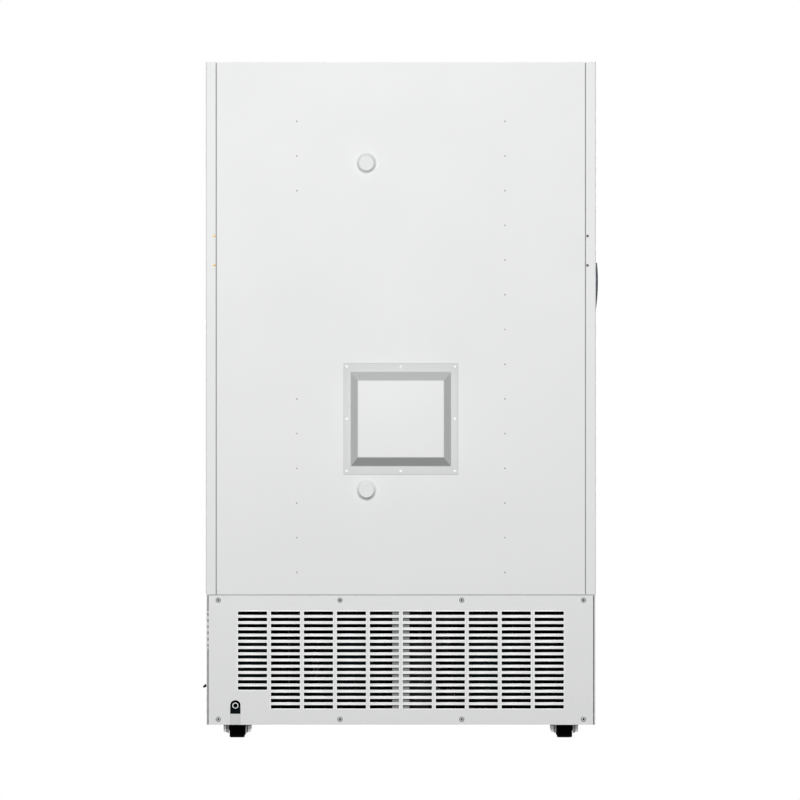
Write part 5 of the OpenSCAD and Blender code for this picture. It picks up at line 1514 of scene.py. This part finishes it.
@dataclass
class Casters(SubAssembly):
    """Four wheels, their axle nuts, the forks and the brake pedals."""

    x: float = 0.48
    rear_y: float = 0.35
    front_y: float = -0.282
    wheel_r: float = 0.028
    nut_out: float = 0.0295
    half_tyre: Profile = (
        (6.05, 20.5), (8.5, 22.3), (11.6, 22.4), (12.4, 21.6), (12.8, 18.9), (21.2, 18.7),
        (21.8, 21.8), (22.6, 22.4), (24.6, 22.4), (26.0, 21.9), (27.1, 20.7), (27.8, 18.9),
        (28.0, 16.5),
    )
    washer: Profile = ((6.2, 0.05), (13, 0.05), (13.4, 0.5), (13.2, 1.5), (6.2, 1.5), (6.2, 0.05))
    nut: Profile = (
        (6.2, 1.5), (11.2, 1.5), (12.0, 2.2), (12.0, 9.6), (10.9, 10.5), (6.4, 10.5), (6.2, 1.5),
    )

    def build(self) -> None:
        """Turns one wheel and copies it, then rounds the steel parts."""
        tyre = [(r, -h) for r, h in self.half_tyre]
        tyre += [(r, -h) for r, h in reversed(tyre)] + tyre[:1]
        first = turned("wheel", tyre, (self.x, self.rear_y, self.wheel_r), (1, 0, 0), 56, 30.0)
        for key, shift in self.shifts().items():
            wheel = copy_at(first, "wheel", shift)
            name = "wheel_" + key
            self.shop.finish(name, [wheel], Look.WHEEL, name, "caster_" + name)
        bpy.data.objects.remove(first)
        self.refine((
            ("caster_mounts", "caster_plates", Look.AGED_ZINC, 0.0008),
            ("front_fork_right", "fork_right", Look.AGED_ZINC, 0.0008),
            ("front_fork_left", "fork_left", Look.AGED_ZINC, 0.0008),
            ("caster_brake_right", "pedal_right", Look.BLACK_PLASTIC, 0.0009),
            ("caster_brake_left", "pedal_left", Look.BLACK_PLASTIC, 0.0009),
        ), 2)
        self.axle_ends()

    def shifts(self) -> dict[str, Point]:
        """Says where each wheel stands from the right rear one.

        Returns:
            Each wheel's shift by its name.
        """
        sides = {"right": 0.0, "left": -2 * self.x}
        ends = {"rear": 0.0, "front": self.front_y - self.rear_y}
        return {
            f"{end}_{side}": (x, y, 0.0) for end, y in ends.items() for side, x in sides.items()
        }

    def axle_ends(self) -> None:
        """A dark washer and a plain hexagon nut on each end of every axle."""
        for side, out in (("a", 1), ("b", -1)):
            start = (self.x + out * self.nut_out, self.rear_y, self.wheel_r)
            washer = turned("washer", self.washer, start, (out, 0, 0), 28)
            nut = turned("nut", self.nut, start, (out, 0, 0), 6, 25.0)
            for key, shift in self.shifts().items():
                body = self.shop.bodies.get("front_fork_" + key[6:], "cabinet")
                body = "cabinet" if key.startswith("rear") else body
                for part, kind, look in (
                    (washer, "axle_washer_", Look.SOOT_BLACK), (nut, "axle_nut_", Look.ZINC)
                ):
                    twin = copy_at(part, "copy", shift)
                    self.shop.finish(kind + key + "_" + side, [twin], look, body)
            bpy.data.objects.remove(washer)
            bpy.data.objects.remove(nut)


# Machine space


@dataclass
class Compressor(SubAssembly):
    """A hermetic compressor: welded shell, base plate, rubber mounts and terminal cover."""

    node: str
    x: float
    y: float = 0.170
    deck: float = 0.073
    foot: float = 0.093
    half_plate: float = 0.106
    plate: float = 0.003
    plate_edge: float = 0.0006
    corner: float = 0.016
    shell_z: Pair = (96.0, 318.0)
    shell_r: float = 100.0
    crown: float = 60.0
    seam: Profile = ((100, 215.5), (103, 213.5), (103.2, 210), (103, 205.5), (100, 203.5))
    mount: Profile = (
        (0, 0.05), (11.5, 0.05), (12, 1), (12, 5), (10, 7), (12, 9), (12, 11), (10, 13),
        (12, 15), (12, 18.5), (11, 19.9), (0, 19.9),
    )
    stub: Profile = ((0, -38), (7, -38), (7, 8), (8.2, 9), (8.2, 11), (6.5, 12), (0, 12))
    stub_at: Pair = (0.040, -0.025)
    cover_low: Point = (-0.030, -0.124, 0.070)
    cover_high: Point = (0.030, -0.080, 0.140)
    cover_rims: Pair = (0.006, 0.0015)
    cover_dip: float = 0.002
    cover_edge: float = 0.0025

    def build(self) -> None:
        """Turns the shell, rounds the plate's corners and fits the mounts."""
        low, high = self.shell_z
        angles = [i * math.pi / 16 for i in range(9)]
        flat = self.shell_r - self.crown
        arc = [(flat + self.crown * math.sin(a), self.crown * (1 - math.cos(a))) for a in angles]
        profile = [(0.0, high)] + [(r, high - h) for r, h in arc] + list(self.seam)
        profile += [(r, low + h) for r, h in reversed(arc)] + [(0.0, low)]
        shell = turned("shell", profile, (self.x, self.y, 0.0), UPWARD, 56, 25.0)
        half = self.half_plate
        plate = block(
            "plate", (self.x - half, self.y - half, self.foot),
            (self.x + half, self.y + half, self.foot + self.plate),
        )
        enter(plate)
        pick(plate, "EDGE", lambda a, b: abs(a.z - b.z) > 0.001)
        bpy.ops.mesh.bevel(offset=self.corner, segments=6, affect="EDGES")
        leave()
        soften(plate, self.plate_edge)
        parts = [shell, plate, self.cover()]
        self.shop.finish(self.node + "_shell", parts, Look.MATT_BLACK, node=self.node)
        self.mounts()
        self.stubs()

    def cover(self) -> Object:
        """The terminal cover on the front of the shell.

        Returns:
            The cover.
        """
        base = Vector((self.x, self.y, self.foot))
        low, high = (tuple(base + Vector(corner)) for corner in (self.cover_low, self.cover_high))
        cover = block("terminal_cover", low, high)
        enter(cover)
        pick(cover, "FACE", lambda centre, normal: normal.y < -0.9)
        bpy.ops.mesh.inset(thickness=self.cover_rims[0], depth=0.0)
        bpy.ops.mesh.inset(thickness=self.cover_rims[1], depth=-self.cover_dip)
        leave()
        soften(cover, self.cover_edge, 3)
        return cover

    def mounts(self) -> None:
        """Four ribbed rubber mounts."""
        out = self.half_plate - self.corner
        start = (self.x - out, self.y - out, self.deck)
        shifts = [(a * 2 * out, b * 2 * out, 0.0) for a, b in ((0, 1), (1, 0), (1, 1))]
        parts = repeat(turned("mount", self.mount, start, UPWARD, 24), shifts)
        self.shop.finish(self.node + "_mounts", parts, Look.WHEEL)

    def stubs(self) -> None:
        """The two sleeved stubs on top, with their collars."""
        dx, dy = self.stub_at
        start = (self.x + dx, self.y + dy, self.shell_z[1] * MM)
        parts = repeat(turned("stub", self.stub, start, UPWARD, 20), [(-2 * dx, -2 * dy, 0.0)])
        self.shop.finish(self.node + "_stubs", parts, Look.TUBE_SLEEVE)


@dataclass
class FanWheel(SubAssembly):
    """A fan wheel with a hub and five twisted blades."""

    node: str
    body: str
    x: float
    y: float = -0.3375
    z: float = 0.2155
    blades: int = 5
    rows: int = 7
    root_r: float = 0.027
    tip_r: float = 0.089
    blade_y: float = 0.010
    chord: float = 0.046
    twist: Pair = (36.0, 2.5)
    share: Pair = (0.80, 0.03)
    sheet: float = 0.0018
    hub: Profile = ((4.1, 0.3), (26, 0), (29, 1.5), (30, 4), (30, 20), (4.1, 20), (4.1, 0.3))

    def build(self) -> None:
        """Turns the hub, then twists the blades and turns each into its place."""
        place = (self.x, self.y, self.z)
        parts = [turned("hub", self.hub, place, REARWARD, 40, 30.0)]
        for index in range(self.blades):
            blade = self.blade()
            turn(blade, index * 360.0 / self.blades, place)
            shade(blade, 50.0)
            parts.append(blade)
        self.shop.finish(self.node + "_wheel", parts, Look.BLACK_PLASTIC, self.body, self.node)

    def blade(self) -> Object:
        """One blade: a plane cut into rows, each row turned a little less and cut wider.

        Returns:
            The blade, upright.
        """
        length = self.tip_r - self.root_r
        y, low = self.y + self.blade_y, self.z + self.root_r
        blade = sheet("blade", (self.x, y, low + length / 2), QUARTER, (self.chord, length))
        enter(blade, "VERT", "SELECT")
        bpy.ops.mesh.subdivide(number_cuts=self.rows - 2)
        for row in range(self.rows):
            height = low + row * length / (self.rows - 1)
            pick(blade, "VERT", lambda point, at=height: abs(point.z - at) < 0.001)
            centre = (self.x, y, height)
            twist = math.radians(self.twist[0] - self.twist[1] * row)
            width = self.share[0] + self.share[1] * row
            bpy.ops.transform.rotate(value=twist, orient_axis="Z", center_override=centre)
            bpy.ops.transform.resize(value=(width, width, 1.0), center_override=centre)
        leave()
        modify(blade, "SOLIDIFY", thickness=self.sheet, offset=0.0)
        return blade


@dataclass
class CondenserCoil(SubAssembly):
    """The finned condenser: end plates, thin fins and copper return bends."""

    half: float = 0.330
    depth: Pair = (-0.3955, -0.3455)
    z: Pair = (0.073, 0.358)
    pitch: float = 0.004
    end_gap: float = 0.012
    half_fin: float = 0.0002
    fin_gap: Pair = (0.002, 0.003)
    lip: float = 0.0006
    half_plate: float = 0.001
    plate_rim: float = 0.004
    plate_edge: float = 0.0004
    rows: int = 4
    tube_r: float = 0.005

    def build(self) -> None:
        """Stamps one fin, repeats it, then adds the plates and the bends."""
        (front, back), (low, high) = self.depth, self.z
        count = int((2 * self.half - self.end_gap) / self.pitch)
        start = -self.pitch * (count - 1) / 2
        gap_y, gap_z = self.fin_gap
        fin = block(
            "fin", (start - self.half_fin, front + gap_y, low + gap_z),
            (start + self.half_fin, back - gap_y, high - gap_z),
        )
        enter(fin)
        pick(fin, "FACE", lambda centre, normal: abs(normal.y) > 0.9)
        bpy.ops.mesh.extrude_region_move(TRANSFORM_OT_translate={"value": (self.lip, 0.0, 0.0)})
        leave()
        spread(fin, count, (self.pitch, 0.0, 0.0))
        parts = [fin]
        for side in (-1, 1):
            x = side * (self.half - self.half_plate)
            plate = block(
                "end_plate", (x - self.half_plate, front, low), (x + self.half_plate, back, high)
            )
            enter(plate)
            pick(plate, "FACE", lambda centre, normal, out=side: normal.x * out > 0.9)
            bpy.ops.mesh.inset(thickness=self.plate_rim, depth=0.0)
            leave()
            soften(plate, self.plate_edge)
            parts.append(plate)
        self.shop.finish("condenser_fins", parts, Look.ALUMINIUM, node="condenser")
        self.bends()

    def bends(self) -> None:
        """Half rings of copper tube at both ends."""
        (low, high), middle = self.z, sum(self.depth) / 2
        pitch = (high - low) / (2 * self.rows)
        parts = []
        for side in (-1, 1):
            for row in range(self.rows):
                centre = (side * self.half, middle, low + (2 * row + 1) * pitch)
                parts.append(self.bend(centre, side, pitch / 2))
        self.shop.finish("condenser_bends", parts, Look.COPPER)

    def bend(self, centre: Point, side: int, radius: float) -> Object:
        """One return bend, spun from a circle.

        Args:
            centre: The bend's centre in metres.
            side: 1 for the end at positive X, -1 for the other.
            radius: The bend's radius in metres.

        Returns:
            The tube.
        """
        deselect()
        x, y, z = centre
        bpy.ops.mesh.primitive_circle_add(
            vertices=14, radius=self.tube_r, fill_type="NGON", location=(x, y, z - radius),
            rotation=(0.0, QUARTER, 0.0),
        )
        tube = named("bend")
        enter(tube, action="SELECT")
        bpy.ops.mesh.spin(
            steps=12, angle=math.pi, center=centre, axis=(0.0, -side, 0.0), use_auto_merge=False
        )
        pick_all()
        bpy.ops.mesh.normals_make_consistent(inside=False)
        leave()
        shade(tube, 50.0)
        return tube


@dataclass
class Electrics(SubAssembly):
    """Power switch lever and cord gland."""

    pivot: Point = (0.5633, 0.0, 0.157)
    tip: Point = (0.57967, 0.0, 0.14554)
    cord: Point = (0.485, 0.4327, 0.094)
    neck: float = 0.011
    lever: Profile = (
        (0, -2.9), (1.8, -2.4), (2.6, -1.2), (2.9, 0.5), (2.9, 11.0), (3.6, 12.8), (3.9, 15.0),
    )
    dome: Profile = (
        (5.75, 0), (10.0, 0), (10.0, 12.6), (9.2, 13.6), (8.4, 14), (5.75, 14), (5.75, 0),
    )
    seal: Profile = (
        (3.2, 6.0), (6.2, 6.0), (6.2, 14.1), (5.7, 14.6), (4.4, 14.3), (3.2, 13.2), (3.2, 6.0),
    )

    def build(self) -> None:
        """A lever that swells towards its tip, then the gland."""
        run = Vector(self.tip) - Vector(self.pivot)
        reach = run.length / MM
        ends = [(3.7, -2.5), (2.9, 0.0), (2.3, 1.4), (1.4, 2.4), (0, 2.75)]
        profile = [*self.lever, *((r, reach + h) for r, h in ends)]
        lever = turned("lever", profile, self.pivot, tuple(run.normalized()), 24, 50.0)
        self.shop.finish("switch_lever", [lever], Look.SOOT_BLACK, "toggle", "power_toggle")
        self.gland()

    def gland(self) -> None:
        """Hexagon body, hexagon cap and dark seal of the cord gland."""
        x, y, z = self.cord
        body = self.hexagon(self.cord, 8.4)
        nut = self.hexagon((x, y - self.neck, z), 8.0)
        dome = turned("dome", self.dome, self.cord, REARWARD, 6, 25.0)
        turn(dome, 30.0, self.cord)
        turn(body, 30.0, self.cord)
        # the gland's whiter plastic is painted light on a part sitting in a recess
        self.shop.finish("cord_entry", [dome, body, nut], Look.LIT_NYLON, node="cord_gland")
        seal = turned("seal", self.seal, self.cord, REARWARD, 32, 40.0)
        self.shop.finish("cord_seal", [seal], Look.SOOT_BLACK)

    @staticmethod
    def hexagon(place: Point, length: float) -> Object:
        """A hexagon ring along Y, with turned-down corners.

        Args:
            place: The middle of its front end.
            length: Its length in millimetres.

        Returns:
            The ring.
        """
        profile = [
            (5.75, 0), (9.4, 0), (10.2, 0.8), (10.2, length - 0.8), (9.4, length), (5.75, length),
            (5.75, 0),
        ]
        return turned("hexagon", profile, place, REARWARD, 6, 20.0)


# Door


@dataclass
class DoorFittings(SubAssembly):
    """Lever handle and housing, lock, relief valve, control panel and screen."""

    lock: Point = (-0.520, -0.4525, 1.160)
    valve: Point = (-0.440, -0.4525, 1.040)
    barrel_r: float = 0.0055
    barrel_y: Pair = (-0.008, 0.020)
    barrel_edge: float = 0.0038
    barrel_rim: float = 0.0008
    barrel_dish: float = 0.0004
    key_rim: float = 0.0030
    keyway: Point = (0.45, 1.0, 2.2)
    key_depth: float = 0.005
    ring: Profile = (
        (8.1, -22), (12, -22), (12, 4.6), (11.2, 5.8), (9.6, 6), (8.6, 5.4), (8.1, 4.4), (8.1, -22),
    )
    cup: Profile = (
        (5.1, 3), (18.4, 3), (18.4, 17), (19.2, 18), (28, 18), (29.6, 16.6), (30, 14), (30, 0),
        (10, 0), (10, -73), (5.1, -73), (5.1, 3),
    )
    knob: Profile = (
        (0, 30.6), (9, 30.9), (14, 31.9), (16.4, 31.6), (17.7, 30.2), (18, 28), (18, 10), (5, 10),
        (5, -30), (0, -30),
    )

    def build(self) -> None:
        """Rounds the moulded parts and turns the round ones."""
        self.refine((
            ("handle_housing", "handle_cover", Look.SLATE_PLASTIC, 0.0025),
            ("door_handle", "lever_handle", Look.SLATE_PLASTIC, 0.0022),
            ("control_panel", "panel_bezel", Look.BLACK_PLASTIC, 0.0008),
            ("touchscreen", "panel_glass", Look.SCREEN, 0.0006),
            ("hinge_brackets", "hinges", Look.ZINC, 0.0009),
            ("latch_keeper", "catch_plate", Look.ZINC, 0.0006),
            ("inner_door_upper", "inner_leaf_upper", Look.WHITE_PLASTIC, 0.003),
            ("inner_door_lower", "inner_leaf_lower", Look.WHITE_PLASTIC, 0.003),
            ("control_box", "electrical_box", Look.MATT_BLACK, 0.0008),
        ), 3)
        self.lock_parts()
        for name, profile, steps, look, body, node in (
            ("valve_cup", self.cup, 56, Look.GREY_PLASTIC, "door", "door_fittings"),
            ("push_knob", self.knob, 48, Look.BLACK_PLASTIC, "relief_valve", "valve_knob"),
        ):
            part = turned(name, profile, self.valve, FRONTWARD, steps, 30.0)
            self.shop.finish(name, [part], look, body, node)

    def lock_parts(self) -> None:
        """Bezel ring of the lock and its barrel with the keyway."""
        x, y, z = self.lock
        r, (front, back) = self.barrel_r, self.barrel_y
        ring = turned("ring", self.ring, self.lock, FRONTWARD, 40)
        barrel = block("barrel", (x - r, y + front, z - r), (x + r, y + back, z + r))
        enter(barrel)
        pick(barrel, "EDGE", lambda a, b: abs(a.y - b.y) > 0.01)
        bpy.ops.mesh.bevel(offset=self.barrel_edge, segments=6, affect="EDGES")
        pick(barrel, "FACE", lambda centre, normal: normal.y < -0.9)
        bpy.ops.mesh.inset(thickness=self.barrel_rim, depth=self.barrel_dish)
        bpy.ops.mesh.inset(thickness=self.key_rim, depth=0.0)
        bpy.ops.transform.resize(value=self.keyway, center_override=self.lock)
        bpy.ops.mesh.extrude_region_move(
            TRANSFORM_OT_translate={"value": (0.0, self.key_depth, 0.0)}
        )
        leave()
        shade(barrel, 30.0)
        self.shop.finish("key_barrel", [barrel], Look.ZINC, "lock", "lock_barrel")
        self.shop.finish("lock_ring", [ring], Look.ZINC, "door")


# The whole


def main() -> None:
    """Builds the studio and every sub-assembly in order."""
    Studio().build()
    shop = Workshop()
    shop.paint_nodes()
    rear = (REAR_Y, 1.0, "cabinet", 0.3648, 16, 0.01828, (0.0852, 0.010))
    front = (-0.4375, -1.0, "grille", 0.348, 17, 0.016, (0.0852, 0.007))
    for part in (
        SheetMetal(shop),
        RaisedCover(shop),
        Screws(shop),
        Joints(shop),
        RearFittings(shop),
        VentLips(shop, "rear_vent_lips", *rear, short=3),
        VentLips(shop, "front_vent_lips", *front, rim=0.0034),
        Casters(shop),
        Compressor(shop, "compressor_first_stage", -0.250),
        Compressor(shop, "compressor_second_stage", 0.140),
        FanWheel(shop, "fan_blade_right", "fan_right", 0.165),
        FanWheel(shop, "fan_blade_left", "fan_left", -0.165),
        CondenserCoil(shop),
        Electrics(shop),
        DoorFittings(shop),
    ):
        part.build()
    LOG.info("all pieces built")


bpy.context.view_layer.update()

if __name__ == "__main__":
    main()
